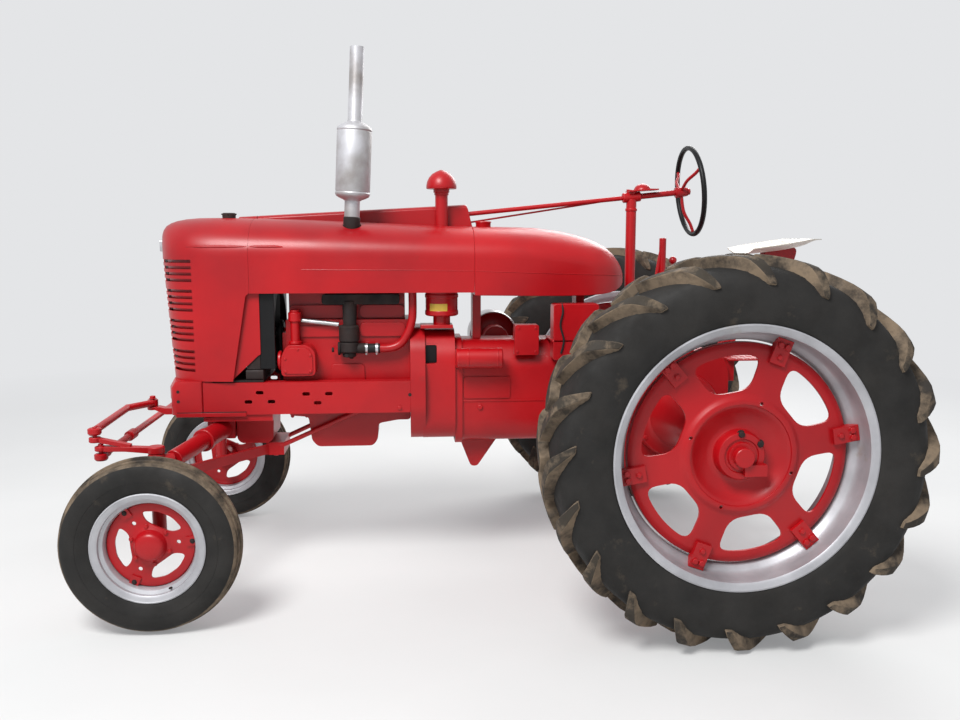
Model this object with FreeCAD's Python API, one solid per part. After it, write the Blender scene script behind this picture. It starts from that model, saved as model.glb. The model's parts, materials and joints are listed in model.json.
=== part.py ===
import FreeCAD, Part
import math
import os

from FreeCAD import Matrix, Vector

# A row-crop farm tractor with a wide adjustable front axle, in millimetres.
# It is drawn with the rear axle at X = 0, the front towards +X, the left side at +Y and the ground at Z = 0.
# At the end every piece moves along X, so that the origin is on the ground under the middle of the length.

# Wheels and track
WHEELBASE = 2283.0
REAR_SEAT_RADIUS = 483.0
REAR_SIDEWALL = 277.0
REAR_RADIUS = REAR_SEAT_RADIUS + REAR_SIDEWALL
REAR_TRACK = 2052.0
REAR_TYRE_HALF = 172.0
REAR_FLANGE_RADIUS = REAR_SEAT_RADIUS + 25.0
REAR_RIM_HALF = 152.0
REAR_LUGS = 20
REAR_LUG_HEIGHT = 38.0
LUG_HALF_ANGLE = 2.4
LUG_PHASE = 6.1
REAR_RIM_SIDES = 20
REAR_DISC_SIDES = 16
FRONT_RIM_SIDES = 16
REAR_TYRE_SIDES = 16
FRONT_SEAT_RADIUS = 203.0
FRONT_SIDEWALL = 157.0
FRONT_RADIUS = FRONT_SEAT_RADIUS + FRONT_SIDEWALL
FRONT_TRACK = 1526.0
FRONT_TYRE_HALF = 79.0
FRONT_FLANGE_RADIUS = FRONT_SEAT_RADIUS + 22.5
FRONT_RIM_HALF = 57.0
FRONT_TYRE_SIDES = 20
RIM_WALL = 7.0
SEAT_GAP = 0.3
FLATNESS = 0.00001

# Rear wheel centres
REAR_DISC_RADIUS = REAR_SEAT_RADIUS - 53.0
REAR_DISC_WALL = 12.0
REAR_DISC_SETBACK = 92.0
REAR_HUB_PLATE_RADIUS = 225.0
REAR_DISH_RADIUS = 165.0
REAR_DISH_DEPTH = 34.0
REAR_HUB_RADIUS = 88.0
REAR_WINDOWS = 6
REAR_AXLE_RADIUS = 38.0
REAR_CLAMP_WIDTH = 62.0
CLAMP_TURN = 10.0

# Front wheel centres
FRONT_DISC_RADIUS = FRONT_SEAT_RADIUS - 7.3
FRONT_DISC_WALL = 9.0
FRONT_HUB_RADIUS = 56.5
FRONT_SPINDLE_RADIUS = 20.0
FRONT_CLAMPS = 3
SHAFT_GAP = 0.06
THRUST_GAP = 0.4

# Front axle and steering
KINGPIN_Y = 635.0
KINGPIN_RADIUS = 20.0
SLEEVE_RADIUS = 33.0
SLEEVE_LOW = 590.0
SLEEVE_TOP = 700.0
AXLE_TUBE_RADIUS = 38.0
AXLE_CENTRE_X = 2115.0
AXLE_CENTRE_Z = 735.0
AXLE_END_X = 2226.0
AXLE_END_Z = 666.0
AXLE_END_INSET = 39.0
AXLE_WEB_RADIUS = 28.0
UPPER_ARM = 240.0
LOWER_ARM = 219.0
PITMAN_X = WHEELBASE - 60.0
DRAG_LINK_Z = 800.0
TIE_ROD_Z = 694.0
LINK_RADIUS = 15.0
BALL_RADIUS = 27.0
STUD_RADIUS = 9.0
STUD_GAP = 0.5

# Frame and front end
RAIL_OUT = 232.0
RAIL_WALL = 9.0
RAIL_FLANGE = 62.0
RAIL_LOW = 770.0
RAIL_TOP = 925.0
RAIL_REAR_X = 1240.0
BOLSTER_REAR_X = 2135.0
BOLSTER_FRONT_X = 2385.0
BOLSTER_TOP = 933.0
BOLSTER_LOW = 766.0
RECESS_HALF = 188.0
RECESS_TOP = 842.0
PITMAN_LOW = 744.0
PITMAN_TOP = 775.7
RAIL_HOLE_RADIUS = 8.0
RAIL_HOLE_PITCH = 103.0
RAIL_HOLE_RISE = 42.0
FRONT_HOLES_X = 1924.0
FRONT_HOLES_Z = 836.5
REAR_HOLES_X = 1664.0
REAR_HOLES_Z = 870.0
PIVOT_Z = 693.0
PIVOT_RADIUS = 19.0
CARRIER_FRONT_X = 2180.0
CARRIER_LOW = 620.0
SADDLE_HALF = 112.0

# Bonnet, grille and tank
HOOD_HALF = 250.0
HOOD_WALL = 4.0
HOOD_LOW = 1330.0
HOOD_SIDE_TOP = 1500.0
HOOD_SHOULDER = 105.0
HOOD_TOP = 1676.0
HOOD_FRONT_X = 1953.0
SHELL_REAR_X = 2008.0
HOOD_REAR_X = 944.0
SEAM = 0.8
NOSE_X = 2381.0
NOSE_RAKE = 0.062
SLOT_HEIGHT = 13.0
SLOT_PITCH = 28.2
SLOT_GROUPS = (1431.0, 1298.0, 1162.0, 1025.0)
SLOTS_IN_GROUP = 4
SLOT_BACK_X = 2208.0
NOSE_STRIP_HALF = 28.0
PLATE_HALF = 30.0
PLATE_LOW = 1514.0
PLATE_HIGH = 1567.0
PLATE_STANDS = 12.0
TANK_TAIL_X = 212.0
HUMP_Y = -80.0
HUMP_HALF = 41.5
HUMP_FRONT_X = 2040.0
HUMP_REAR_X = 932.0
HUMP_TOP = 1738.0

# Engine, transmission and rear
BLOCK_HALF = 128.0
BLOCK_FRONT_X = 1812.0
BLOCK_REAR_X = 1240.0
BLOCK_LOW = 782.0
BLOCK_TOP = 1200.0
HEAD_TOP = 1322.0
COVER_HIGH = 1400.0
MANIFOLD_LOW = 1274.0
AIR_PIPE_X = 1226.0
AIR_PIPE_RADIUS = 19.0
CLEANER_X = 1090.0
CLEANER_RADIUS = 78.0
CLUTCH_FRONT_X = 1240.0
CLUTCH_REAR_X = 1030.0
CLUTCH_TOP = 1160.0
CASE_REAR_X = -262.0
CASE_HALF = 232.0
COVER_TOP = 1092.0
PLATE_TOP = 1008.0
PEDAL_X = 270.0
PEDAL_Z = REAR_RADIUS + 140.0
HEAD_HALF = 86.0
CARBURETTOR_X = 1511.0
CARBURETTOR_Y = 165.0
CARBURETTOR_Z = 1070.0
INLET_Z = 1364.0
PAN_HALF = 92.0
CAP_X = 2075.0
CAP_RADIUS = 31.0
STARTER_Y = 236.0
STARTER_Z = 1028.0
PULLEY_X = 809.0
PULLEY_Z = 1079.0
PULLEY_RADIUS = 125.0
PULLEY_NEAR_Y = -250.0
PULLEY_FAR_Y = -415.0
PULLEY_WALL = 8.0
PULLEY_SHAFT_RADIUS = 16.0
PULLEY_SIDES = 16
AXLE_HOUSING_END_Y = 838.0
PTO_RADIUS = 17.4
PTO_LENGTH = 72.0
PTO_Z = 640.0
DRAWBAR_Z = 420.0
DRAWBAR_THICK = 30.0
DRAWBAR_WIDTH = 76.0
DRAWBAR_END_X = -690.0
DRAWBAR_HOLE_RADIUS = 14.0

# Stacks, steering wheel and seat
MUFFLER_X = 1500.0
MUFFLER_Y = 120.0
MUFFLER_LEAN = 40.0
MUFFLER_RADIUS = 80.0
MUFFLER_PIPE_RADIUS = 32.0
STACK_X = 1085.0
STACK_RADIUS = 33.5
COLUMN_Y = -80.0
WHEEL_HUB_X = -103.0
WHEEL_HUB_Z = 1800.0
COLUMN_SLOPE = 0.103
STEERING_RADIUS = 222.0
STEERING_RIM = 12.5
STEERING_DISH = 46.0
STEERING_SIDES = 24
COLUMN_RADIUS = 11.0
POST_X = 146.0
POST_RADIUS = 25.0
SEAT_FRONT_X = -383.0
SEAT_REAR_X = -748.0
SEAT_HALF = 215.0
SEAT_LOW = 1496.0
SEAT_SLOPE = 0.154
FAN_X = 1868.0
FAN_Z = 1130.0
FAN_REAR_X = FAN_X - 32.0
FAN_SHAFT_RADIUS = 9.0
FAN_PULLEY_RADIUS = 50.0
CRANK_PULLEY_RADIUS = 58.0
BELT_GAP = 5.0
BELT_THICK = 8.0
FAN_RADIUS = 200.0
RADIATOR_REAR_X = 1918.0
RADIATOR_HALF = 222.0
CRANK_Z = 888.0

LENGTH_MIDDLE = (WHEELBASE + FRONT_RADIUS - REAR_RADIUS) / 2.0

X_AXIS = Vector(1, 0, 0)
Y_AXIS = Vector(0, 1, 0)
Z_AXIS = Vector(0, 0, 1)
ORIGIN = Vector(0, 0, 0)


# General shapes
def block(x0, x1, y0, y1, z0, z1):
    return Part.makeBox(x1 - x0, y1 - y0, z1 - z0, Vector(x0, y0, z0))


def pin(start, end, radius):
    # A true cylinder, for the shafts that pieces turn on and the holes that other equipment uses.
    a, b = Vector(*start), Vector(*end)
    return Part.makeCylinder(radius, (b - a).Length, a, b - a)


def flats_for(radius):
    # How many flat sides a plain round piece is drawn with.
    if radius < 12:
        return 6
    if radius < 30:
        return 8
    return 10 if radius < 100 else 16


def rod(start, end, radius):
    return cone(start, end, radius, radius)


def bore(start, end, radius, gap):
    # A flat-sided hole that clears a flat-sided rod of this radius at any turn.
    a, b = Vector(*start), Vector(*end)
    sides = flats_for(radius)
    corner = (radius + gap) / math.cos(math.pi / sides)
    length = (b - a).Length
    return turned([(0, 0), (0, corner), (length, corner), (length, 0)], a, b - a, sides, 0.5)


def cone(start, end, radius_start, radius_end):
    a, b = Vector(*start), Vector(*end)
    length = (b - a).Length
    profile = [(0, 0), (0, radius_start), (length, radius_end), (length, 0)]
    return turned(profile, a, b - a, flats_for(max(radius_start, radius_end)))


def ball(centre, radius):
    half = radius * math.sqrt(0.5)
    profile = [(-radius, 0), (-half, half), (0, radius), (half, half), (radius, 0)]
    return turned(profile, Vector(*centre), Z_AXIS, flats_for(radius))


def side_profile(points, y0, y1):
    # A prism whose outline is given as (x, z) points, from y0 to y1.
    wire = Part.makePolygon([Vector(x, y0, z) for x, z in points + points[:1]])
    return Part.Face(wire).extrude(Vector(0, y1 - y0, 0))


def plan_profile(points, z0, z1):
    wire = Part.makePolygon([Vector(x, y, z0) for x, y in points + points[:1]])
    return Part.Face(wire).extrude(Vector(0, 0, z1 - z0))


def cross_profile(points, x0, x1):
    wire = Part.makePolygon([Vector(x0, y, z) for y, z in points + points[:1]])
    return Part.Face(wire).extrude(Vector(x1 - x0, 0, 0))


def solid_of(faces):
    shell = Part.makeShell(faces)
    shell.sewShape()
    return Part.makeSolid(shell)


def turned(profile, centre, axis, sides, first=0.0):
    # Turns closed (along, radius) points about an axis, with flat sides.
    along_way = Vector(axis).normalize()
    across = along_way.cross(Y_AXIS if abs(along_way.y) < 0.9 else X_AXIS).normalize()
    other = along_way.cross(across)
    columns = []
    for k in range(sides):
        angle = 2 * math.pi * (k + first) / sides
        out = across * math.cos(angle) + other * math.sin(angle)
        columns.append([centre + along_way * along + out * radius for along, radius in profile])
    faces = []
    for k in range(sides):
        here, there = columns[k], columns[(k + 1) % sides]
        for j in range(len(profile)):
            m = (j + 1) % len(profile)
            corners = [here[j], here[m], there[m], there[j]]
            if profile[j][1] == 0:
                corners = corners[:3]
            elif profile[m][1] == 0:
                corners = [here[j], here[m], there[j]]
            if profile[j][1] != 0 or profile[m][1] != 0:
                faces.append(Part.Face(Part.makePolygon(corners + corners[:1])))
    return solid_of(faces)


def fuse(*pieces):
    return pieces[0].multiFuse(list(pieces[1:])).removeSplitter()


def cut(shape, *tools):
    for tool in tools:
        shape = shape.cut(tool)
    return shape


def mirrored(shape):
    return shape.mirror(ORIGIN, Y_AXIS)


def skinned(sections):
    # A solid through closed sections with the same number of corners.
    faces = [Part.Face(Part.makePolygon(row + row[:1])) for row in (sections[0], sections[-1])]
    for near, far in zip(sections, sections[1:]):
        for j in range(len(near)):
            k = (j + 1) % len(near)
            a, b, c, d = near[j], near[k], far[k], far[j]
            normal = (b - a).cross(c - a).normalize()
            if abs((d - a).dot(normal)) < FLATNESS:
                faces.append(Part.Face(Part.makePolygon([a, b, c, d, a])))
            else:
                faces.append(Part.Face(Part.makePolygon([a, b, c, a])))
                faces.append(Part.Face(Part.makePolygon([a, c, d, a])))
    return solid_of(faces)


def bent_tube(points, radius):
    # A flat-sided tube through points that lie in one plane across Y.
    places = [Vector(*p) for p in points]
    sections = []
    for n, place in enumerate(places):
        before = places[max(n - 1, 0)]
        after = places[min(n + 1, len(places) - 1)]
        side = (after - before).cross(Y_AXIS).normalize()
        section = []
        for k in range(flats_for(radius)):
            angle = 2 * math.pi * k / flats_for(radius)
            section.append(place + Y_AXIS * (radius * math.cos(angle)) + side * (radius * math.sin(angle)))
        sections.append(section)
    return skinned(sections)


def flat_sided_ring(profile, sides, centre):
    # A ring about Y, with profile points (y, radius) and a corner at the very front.
    columns = []
    for k in range(sides):
        angle = 2 * math.pi * k / sides
        columns.append(
            [centre + Vector(radius * math.cos(angle), y, radius * math.sin(angle)) for y, radius in profile]
        )
    faces = []
    for k in range(sides):
        here, there = columns[k], columns[(k + 1) % sides]
        for j in range(len(profile)):
            m = (j + 1) % len(profile)
            faces.append(Part.Face(Part.makePolygon([here[j], here[m], there[m], there[j], here[j]])))
    return solid_of(faces)


def both_sides(half_profile):
    # Mirrors (y, radius) points that run from the bore to the crown.
    return half_profile + [(-y, radius) for y, radius in reversed(half_profile) if y > 0]


# Tyres
REAR_CENTRE = Vector(0, REAR_TRACK / 2, REAR_RADIUS)
FRONT_CENTRE = Vector(WHEELBASE, FRONT_TRACK / 2, FRONT_RADIUS)
CARCASS_RADIUS = REAR_RADIUS - REAR_LUG_HEIGHT


def around(radius, sides):
    # The corner radius of a flat-sided ring whose flats just clear a circle.
    return (radius + SEAT_GAP) / math.cos(math.pi / sides)


def lug(start_angle, side):
    # Stations run from the crown's middle over the shoulder to the tip on the sidewall:
    # forward lean in degrees, top (y, radius), base (y, radius), half angle at the top and at the base.
    crown_base = CARCASS_RADIUS - 40
    stations = (
        (0.0, (-6, REAR_RADIUS), (-6, crown_base), LUG_HALF_ANGLE, LUG_HALF_ANGLE + 0.5),
        (11.5, (REAR_TYRE_HALF - 22, REAR_RADIUS - 12), (REAR_TYRE_HALF - 32, crown_base), LUG_HALF_ANGLE, LUG_HALF_ANGLE + 0.5),
        (17.0, (REAR_TYRE_HALF + 9, REAR_RADIUS - 105), (REAR_TYRE_HALF - 14, REAR_RADIUS - 112), 1.0, 1.4),
    )
    rows = []
    for lean, top, base, half_top, half_base in stations:
        middle = start_angle + lean
        row = []
        for (y, radius), swing in ((base, -half_base), (top, -half_top), (top, half_top), (base, half_base)):
            angle = math.radians(middle + swing)
            row.append(REAR_CENTRE + Vector(radius * math.cos(angle), side * y, radius * math.sin(angle)))
        rows.append(row)
    triangles = []
    for near, far in zip(rows, rows[1:]):
        for j in range(4):
            k = (j + 1) % 4
            triangles.append((near[j], near[k], far[k]))
            triangles.append((near[j], far[k], far[j]))
    for row in (rows[0], rows[-1]):
        triangles.append((row[0], row[1], row[2]))
        triangles.append((row[0], row[2], row[3]))
    return solid_of([Part.Face(Part.makePolygon([a, b, c, a])) for a, b, c in triangles])


def rear_tyre():
    seat = around(REAR_SEAT_RADIUS, REAR_TYRE_SIDES)
    half = [
        (REAR_RIM_HALF - SEAT_GAP, seat),
        (REAR_RIM_HALF - SEAT_GAP, around(REAR_FLANGE_RADIUS, REAR_TYRE_SIDES)),
        (REAR_TYRE_HALF, REAR_RADIUS - 160),
        (REAR_TYRE_HALF - 24, CARCASS_RADIUS - 20),
        (0, CARCASS_RADIUS),
    ]
    carcass = flat_sided_ring(both_sides(half), REAR_TYRE_SIDES, REAR_CENTRE)
    pitch = 360.0 / REAR_LUGS
    lugs = [lug(pitch * k + LUG_PHASE, 1) for k in range(REAR_LUGS)]
    lugs += [lug(pitch * (k + 0.5) + LUG_PHASE, -1) for k in range(REAR_LUGS)]
    return carcass.multiFuse(lugs).removeSplitter()


def front_tyre():
    half = [
        (FRONT_RIM_HALF - SEAT_GAP, around(FRONT_SEAT_RADIUS, FRONT_TYRE_SIDES)),
        (FRONT_RIM_HALF - SEAT_GAP, around(FRONT_FLANGE_RADIUS, FRONT_TYRE_SIDES)),
        (FRONT_TYRE_HALF, FRONT_RADIUS - 72),
        (FRONT_TYRE_HALF - 16, FRONT_RADIUS - 17),
        (0, FRONT_RADIUS),
    ]
    return flat_sided_ring(both_sides(half), FRONT_TYRE_SIDES, FRONT_CENTRE)


SPINDLE_END_Y = FRONT_CENTRE.y + 28


# Rims
def rim(centre, half, flange, seat, sides):
    edge = half + RIM_WALL
    outer = [(edge, flange), (half, flange), (half, seat)]
    inner = [(edge, seat - RIM_WALL)]
    profile = outer + [(-y, r) for y, r in reversed(outer)] + [(-y, r) for y, r in reversed(inner)] + inner
    return flat_sided_ring(profile, sides, centre)


def rear_rim():
    return rim(REAR_CENTRE, REAR_RIM_HALF, REAR_FLANGE_RADIUS, REAR_SEAT_RADIUS, REAR_RIM_SIDES)


def front_rim():
    return rim(FRONT_CENTRE, FRONT_RIM_HALF, FRONT_FLANGE_RADIUS, FRONT_SEAT_RADIUS, FRONT_RIM_SIDES)


# Wheel centres
def sector_window(centre, inner, outer, half_angle, middle, y0, y1):
    # A window between two radii, narrower towards the wheel's middle, cut along Y.
    corners = []
    narrow = half_angle * 0.72
    for radius, angle in ((outer, half_angle), (inner, narrow), (inner, -narrow), (outer, -half_angle), (outer, 0)):
        a = math.radians(middle + angle)
        corners.append(Vector(centre.x + radius * math.cos(a), y0, centre.z + radius * math.sin(a)))
    return Part.Face(Part.makePolygon(corners + corners[:1])).extrude(Vector(0, y1 - y0, 0))


def rear_disc():
    face_y = REAR_CENTRE.y + REAR_RIM_HALF + RIM_WALL - REAR_DISC_SETBACK
    centre = Vector(0, face_y, REAR_RADIUS)
    wall = REAR_DISC_WALL
    dish = REAR_DISH_DEPTH
    raised = 16
    back = 62
    # Profile as (along Y from the disc's outer face, radius): hub, dish, raised ring, plate and outer band.
    profile = [
        (-back, 0),
        (24, 0),
        (24, REAR_HUB_RADIUS),
        (-dish, REAR_HUB_RADIUS),
        (-dish, REAR_DISH_RADIUS - 14),
        (raised, REAR_DISH_RADIUS),
        (raised, REAR_HUB_PLATE_RADIUS - 12),
        (0, REAR_HUB_PLATE_RADIUS),
        (-14, REAR_DISC_RADIUS),
        (-52, REAR_DISC_RADIUS),
        (-52, REAR_DISC_RADIUS - wall),
        (-wall, REAR_HUB_PLATE_RADIUS - 6),
        (-dish - wall, REAR_DISH_RADIUS - 8),
        (-back, REAR_HUB_RADIUS),
    ]
    disc = turned(profile, centre, Y_AXIS, REAR_DISC_SIDES, 0.5)
    pitch = 360.0 / REAR_WINDOWS
    for k in range(REAR_WINDOWS):
        middle = pitch * (k + 0.5) + CLAMP_TURN
        disc = disc.cut(sector_window(centre, 262, 384, 19, middle, face_y - 60, face_y + 30))
    clamps = []
    half = REAR_CLAMP_WIDTH / 2
    foot_start = REAR_DISC_RADIUS - 60
    foot_end = (REAR_SEAT_RADIUS - RIM_WALL) * math.cos(math.pi / REAR_RIM_SIDES) - 1.1
    for k in range(REAR_WINDOWS):
        foot = block(foot_start, foot_end, -30, 10, -half, half)
        foot.rotate(ORIGIN, Y_AXIS, -(pitch * k + CLAMP_TURN))
        clamps.append(foot.translated(centre))
    axle = pin((0, AXLE_HOUSING_END_Y - 60, REAR_RADIUS), (0, face_y + 58, REAR_RADIUS), REAR_AXLE_RADIUS)
    return fuse(disc, axle, *clamps)


def front_disc():
    face_y = FRONT_CENTRE.y + 12
    centre = Vector(WHEELBASE, face_y, FRONT_RADIUS)
    back = 66
    # Profile as (along Y from the disc's outer face, radius): closed cap, hub, web and outer band.
    profile = [
        (-back, 0),
        (40, 0),
        (40, FRONT_HUB_RADIUS - 14),
        (28, FRONT_HUB_RADIUS),
        (0, FRONT_HUB_RADIUS + 14),
        (0, FRONT_DISC_RADIUS),
        (-FRONT_DISC_WALL, FRONT_DISC_RADIUS),
        (-FRONT_DISC_WALL, FRONT_HUB_RADIUS + 6),
        (-back, FRONT_HUB_RADIUS - 10),
    ]
    disc = turned(profile, centre, Y_AXIS, FRONT_RIM_SIDES)
    depth = SPINDLE_END_Y + SEAT_GAP
    start = (WHEELBASE, face_y - 80, FRONT_RADIUS)
    disc = disc.cut(bore(start, (WHEELBASE, depth, FRONT_RADIUS), FRONT_SPINDLE_RADIUS, SHAFT_GAP))
    pitch = 360.0 / FRONT_CLAMPS
    for k in range(FRONT_CLAMPS):
        middle = 3 + pitch * (k + 0.5)
        disc = disc.cut(sector_window(centre, 88, 146, 40, middle, face_y - 30, face_y + 30))
    return disc


SIDES = {
    "left": lambda shape: shape,
    "right": mirrored,
}


# Frame and front end
def rail_hole_places():
    # Two triangles of holes: one hole above two, then two above one.
    places = []
    for middle, z, rise in ((FRONT_HOLES_X, FRONT_HOLES_Z, RAIL_HOLE_RISE), (REAR_HOLES_X, REAR_HOLES_Z, -RAIL_HOLE_RISE)):
        places.append((middle, z + rise))
        places.append((middle - RAIL_HOLE_PITCH / 2, z))
        places.append((middle + RAIL_HOLE_PITCH / 2, z))
    return places


def side_rails():
    web = block(RAIL_REAR_X, BOLSTER_REAR_X, RAIL_OUT - RAIL_WALL, RAIL_OUT, RAIL_LOW, RAIL_TOP)
    low = block(RAIL_REAR_X, BOLSTER_REAR_X, RAIL_OUT - RAIL_FLANGE, RAIL_OUT, RAIL_LOW, RAIL_LOW + RAIL_WALL)
    top = low.translated(Vector(0, 0, RAIL_TOP - RAIL_LOW - RAIL_WALL))
    rail = fuse(web, low, top)
    for x, z in rail_hole_places():
        drill = pin if z == FRONT_HOLES_Z else rod
        rail = rail.cut(drill((x, RAIL_OUT - 30, z), (x, RAIL_OUT + 5, z), RAIL_HOLE_RADIUS))
    return Part.makeCompound([rail, mirrored(rail)])


def front_bolster():
    nose = 70.0
    wide = RAIL_OUT + 3
    half = [
        (BOLSTER_REAR_X, wide),
        (BOLSTER_FRONT_X - 90, wide),
        (BOLSTER_FRONT_X - 30, RAIL_OUT - nose),
        (BOLSTER_FRONT_X, 90),
    ]
    outline = half + [(x, -y) for x, y in reversed(half)]
    body = plan_profile(outline, BOLSTER_LOW, BOLSTER_TOP)
    recess = block(PITMAN_X - 62, BOLSTER_FRONT_X + 20, -RECESS_HALF, RECESS_HALF, BOLSTER_LOW - 30, RECESS_TOP)
    shaft = pin((PITMAN_X, 0, PITMAN_TOP + SEAT_GAP), (PITMAN_X, 0, RECESS_TOP + 18), 24)
    return fuse(body.cut(recess), shaft)


def axle_carrier():
    # A bracket under the rails that holds the axle's pivot pin between two walls.
    half = RAIL_OUT - 10
    plate_low = 746
    top = block(1870, CARRIER_FRONT_X, -half, half, plate_low, BOLSTER_LOW - SEAT_GAP)
    pad = block(1870, BOLSTER_REAR_X - 1, -half, half, plate_low, RAIL_LOW)
    lip = 28
    rear = side_profile(
        [(1880, 760), (1885, CARRIER_LOW + 20), (1905, CARRIER_LOW), (2032, CARRIER_LOW), (2052, CARRIER_LOW + 20), (2052, 760)],
        -118,
        118,
    )
    front = block(CARRIER_FRONT_X - lip, CARRIER_FRONT_X, -70, 70, PIVOT_Z - 48, 760)
    axis = rod((2040, 0, PIVOT_Z), (CARRIER_FRONT_X, 0, PIVOT_Z), PIVOT_RADIUS)
    return fuse(top, pad, rear, front, axis)


def front_axle():
    centre = block(2056, CARRIER_FRONT_X - 32, -150, 150, PIVOT_Z - 42, PIVOT_Z + 44)
    centre = centre.cut(bore((2000, 0, PIVOT_Z), (2230, 0, PIVOT_Z), PIVOT_RADIUS, SEAT_GAP))
    arms = []
    for side in (1, -1):
        y = side * KINGPIN_Y
        inner = (AXLE_CENTRE_X - 9, side * 120, PIVOT_Z + 6)
        end = (AXLE_END_X, side * (KINGPIN_Y - AXLE_END_INSET), AXLE_END_Z)
        split = [inner[k] + (end[k] - inner[k]) * 0.42 for k in range(3)]
        arms.append(rod(inner, split, AXLE_TUBE_RADIUS + 7))
        arms.append(rod(split, end, AXLE_TUBE_RADIUS))
        arms.append(rod((WHEELBASE, y, SLEEVE_LOW), (WHEELBASE, y, SLEEVE_TOP), SLEEVE_RADIUS))
        arms.append(rod(end, (WHEELBASE, y, AXLE_END_Z), AXLE_WEB_RADIUS))
    axle = fuse(centre, *arms)
    for side in (1, -1):
        y = side * KINGPIN_Y
        axle = axle.cut(bore((WHEELBASE, y, 500), (WHEELBASE, y, 760), KINGPIN_RADIUS, SHAFT_GAP))
    return axle


def axle_braces():
    # The stays from under the engine to both ends of the axle, with two thin rods back to the engine.
    half = 8.0
    deep = 44.0
    stays = []
    for side in (1, -1):
        inner = Vector(1868, side * 30, 563)
        outer = Vector(2212, side * 600, 584)
        across = (outer - inner).cross(Z_AXIS).normalize() * half
        corners = [inner + across, outer + across, outer - across, inner - across]
        bar = Part.Face(Part.makePolygon(corners + corners[:1])).extrude(Vector(0, 0, deep))
        stays.append(bar)
        stays.append(rod((1856, side * 104, 600), (1480, side * 116, 768), 11))
        stays.append(rod((1480, side * 116, 762), (1480, side * 116, BLOCK_LOW - SEAT_GAP), 11))
    saddle = block(1838, 1920, -SADDLE_HALF, SADDLE_HALF, 560, CARRIER_LOW - SEAT_GAP)
    return fuse(saddle, *stays)


# Steering linkage
def knuckle(upper_arm):
    # Kingpin, spindle and arms of the left side; the upper arm is on the left only.
    y = KINGPIN_Y
    low_x = WHEELBASE + LOWER_ARM
    top_x = WHEELBASE + UPPER_ARM
    shoulder = WHEELBASE + 118
    pieces = [
        pin((WHEELBASE, y, FRONT_RADIUS + 2), (WHEELBASE, y, 708), KINGPIN_RADIUS),
        rod((WHEELBASE, y, FRONT_RADIUS - 32), (WHEELBASE, y, SLEEVE_LOW - THRUST_GAP), SLEEVE_RADIUS - 5),
        pin((WHEELBASE, y, FRONT_RADIUS), (WHEELBASE, SPINDLE_END_Y, FRONT_RADIUS), FRONT_SPINDLE_RADIUS),
        rod((WHEELBASE, y, SLEEVE_TOP + THRUST_GAP), (WHEELBASE, y, SLEEVE_TOP + 30), 34),
        side_profile(
            [(WHEELBASE, 702), (shoulder, 714), (low_x, 716), (low_x, 736), (shoulder, 734), (WHEELBASE, 728)],
            y - 18,
            y + 18,
        ),
        rod((low_x, y, 716), (low_x, y, 736), 24),
    ]
    stud = pin if upper_arm else rod
    pieces.append(stud((low_x, y, TIE_ROD_Z - 20), (low_x, y, 720), STUD_RADIUS))
    if upper_arm:
        pieces.append(
            side_profile([(shoulder - 20, 726), (top_x - 14, 752), (top_x - 4, 774), (shoulder - 20, 742)], y - 14, y + 14)
        )
        pieces.append(rod((top_x, y, 752), (top_x, y, 774), 24))
        pieces.append(pin((top_x, y, 770), (top_x, y, DRAG_LINK_Z + 16), STUD_RADIUS))
    return fuse(*pieces)


def knuckle_left():
    return knuckle(True)


def knuckle_right():
    return mirrored(knuckle(False))


def socket(x, y, z):
    # The block that holds a rod's end round a vertical stud.
    return rod((x, y, z - 17), (x, y, z + 12), BALL_RADIUS)


def tie_rod():
    x = WHEELBASE + LOWER_ARM
    y = KINGPIN_Y
    bar = rod((x, -y, TIE_ROD_Z), (x, y, TIE_ROD_Z), LINK_RADIUS)
    clamp = rod((x, 190, TIE_ROD_Z), (x, 262, TIE_ROD_Z), LINK_RADIUS + 8)
    whole = fuse(bar, clamp, socket(x, y, TIE_ROD_Z), socket(x, -y, TIE_ROD_Z))
    for side in (1, -1):
        whole = whole.cut(bore((x, side * y, TIE_ROD_Z - 60), (x, side * y, TIE_ROD_Z + 60), STUD_RADIUS, STUD_GAP))
    return whole


def drag_link():
    rear = (PITMAN_X + UPPER_ARM, 0)
    front = (WHEELBASE + UPPER_ARM, KINGPIN_Y)
    bend = (rear[0] + 72, 128)
    z = DRAG_LINK_Z
    first = rod((rear[0], rear[1], z), (bend[0], bend[1], z), LINK_RADIUS)
    knee = ball((bend[0], bend[1], z), LINK_RADIUS + 4)
    second = rod((bend[0], bend[1], z), (front[0], front[1], z), LINK_RADIUS + 3)
    eye = rod((rear[0], 0, z - 14), (rear[0], 0, z + 14), 24)
    whole = fuse(first, knee, second, socket(front[0], front[1], z), eye)
    for x, y in (rear, front):
        whole = whole.cut(bore((x, y, z - 60), (x, y, z + 60), STUD_RADIUS, STUD_GAP))
    return whole


def pitman_arm():
    x = PITMAN_X + UPPER_ARM
    hub = rod((PITMAN_X, 0, PITMAN_LOW), (PITMAN_X, 0, PITMAN_TOP), 34)
    arm = side_profile(
        [(PITMAN_X, 744), (x - 60, 744), (x - 14, 766), (x + 14, 766), (x + 14, 782), (x - 30, 782), (x - 60, 775), (PITMAN_X, 775)],
        -22,
        22,
    )
    eye = rod((x, 0, 766), (x, 0, 782), 26)
    stud = rod((x, 0, 780), (x, 0, DRAG_LINK_Z + 30), STUD_RADIUS)
    nut = rod((x, 0, DRAG_LINK_Z + 18), (x, 0, DRAG_LINK_Z + 32), 18)
    return fuse(hub, arm, eye, stud, nut)


def column_point(x):
    return Vector(x, COLUMN_Y, WHEEL_HUB_Z - (x - WHEEL_HUB_X) * COLUMN_SLOPE)


COLUMN_WAY = Vector(1, 0, -COLUMN_SLOPE).normalize()


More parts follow.
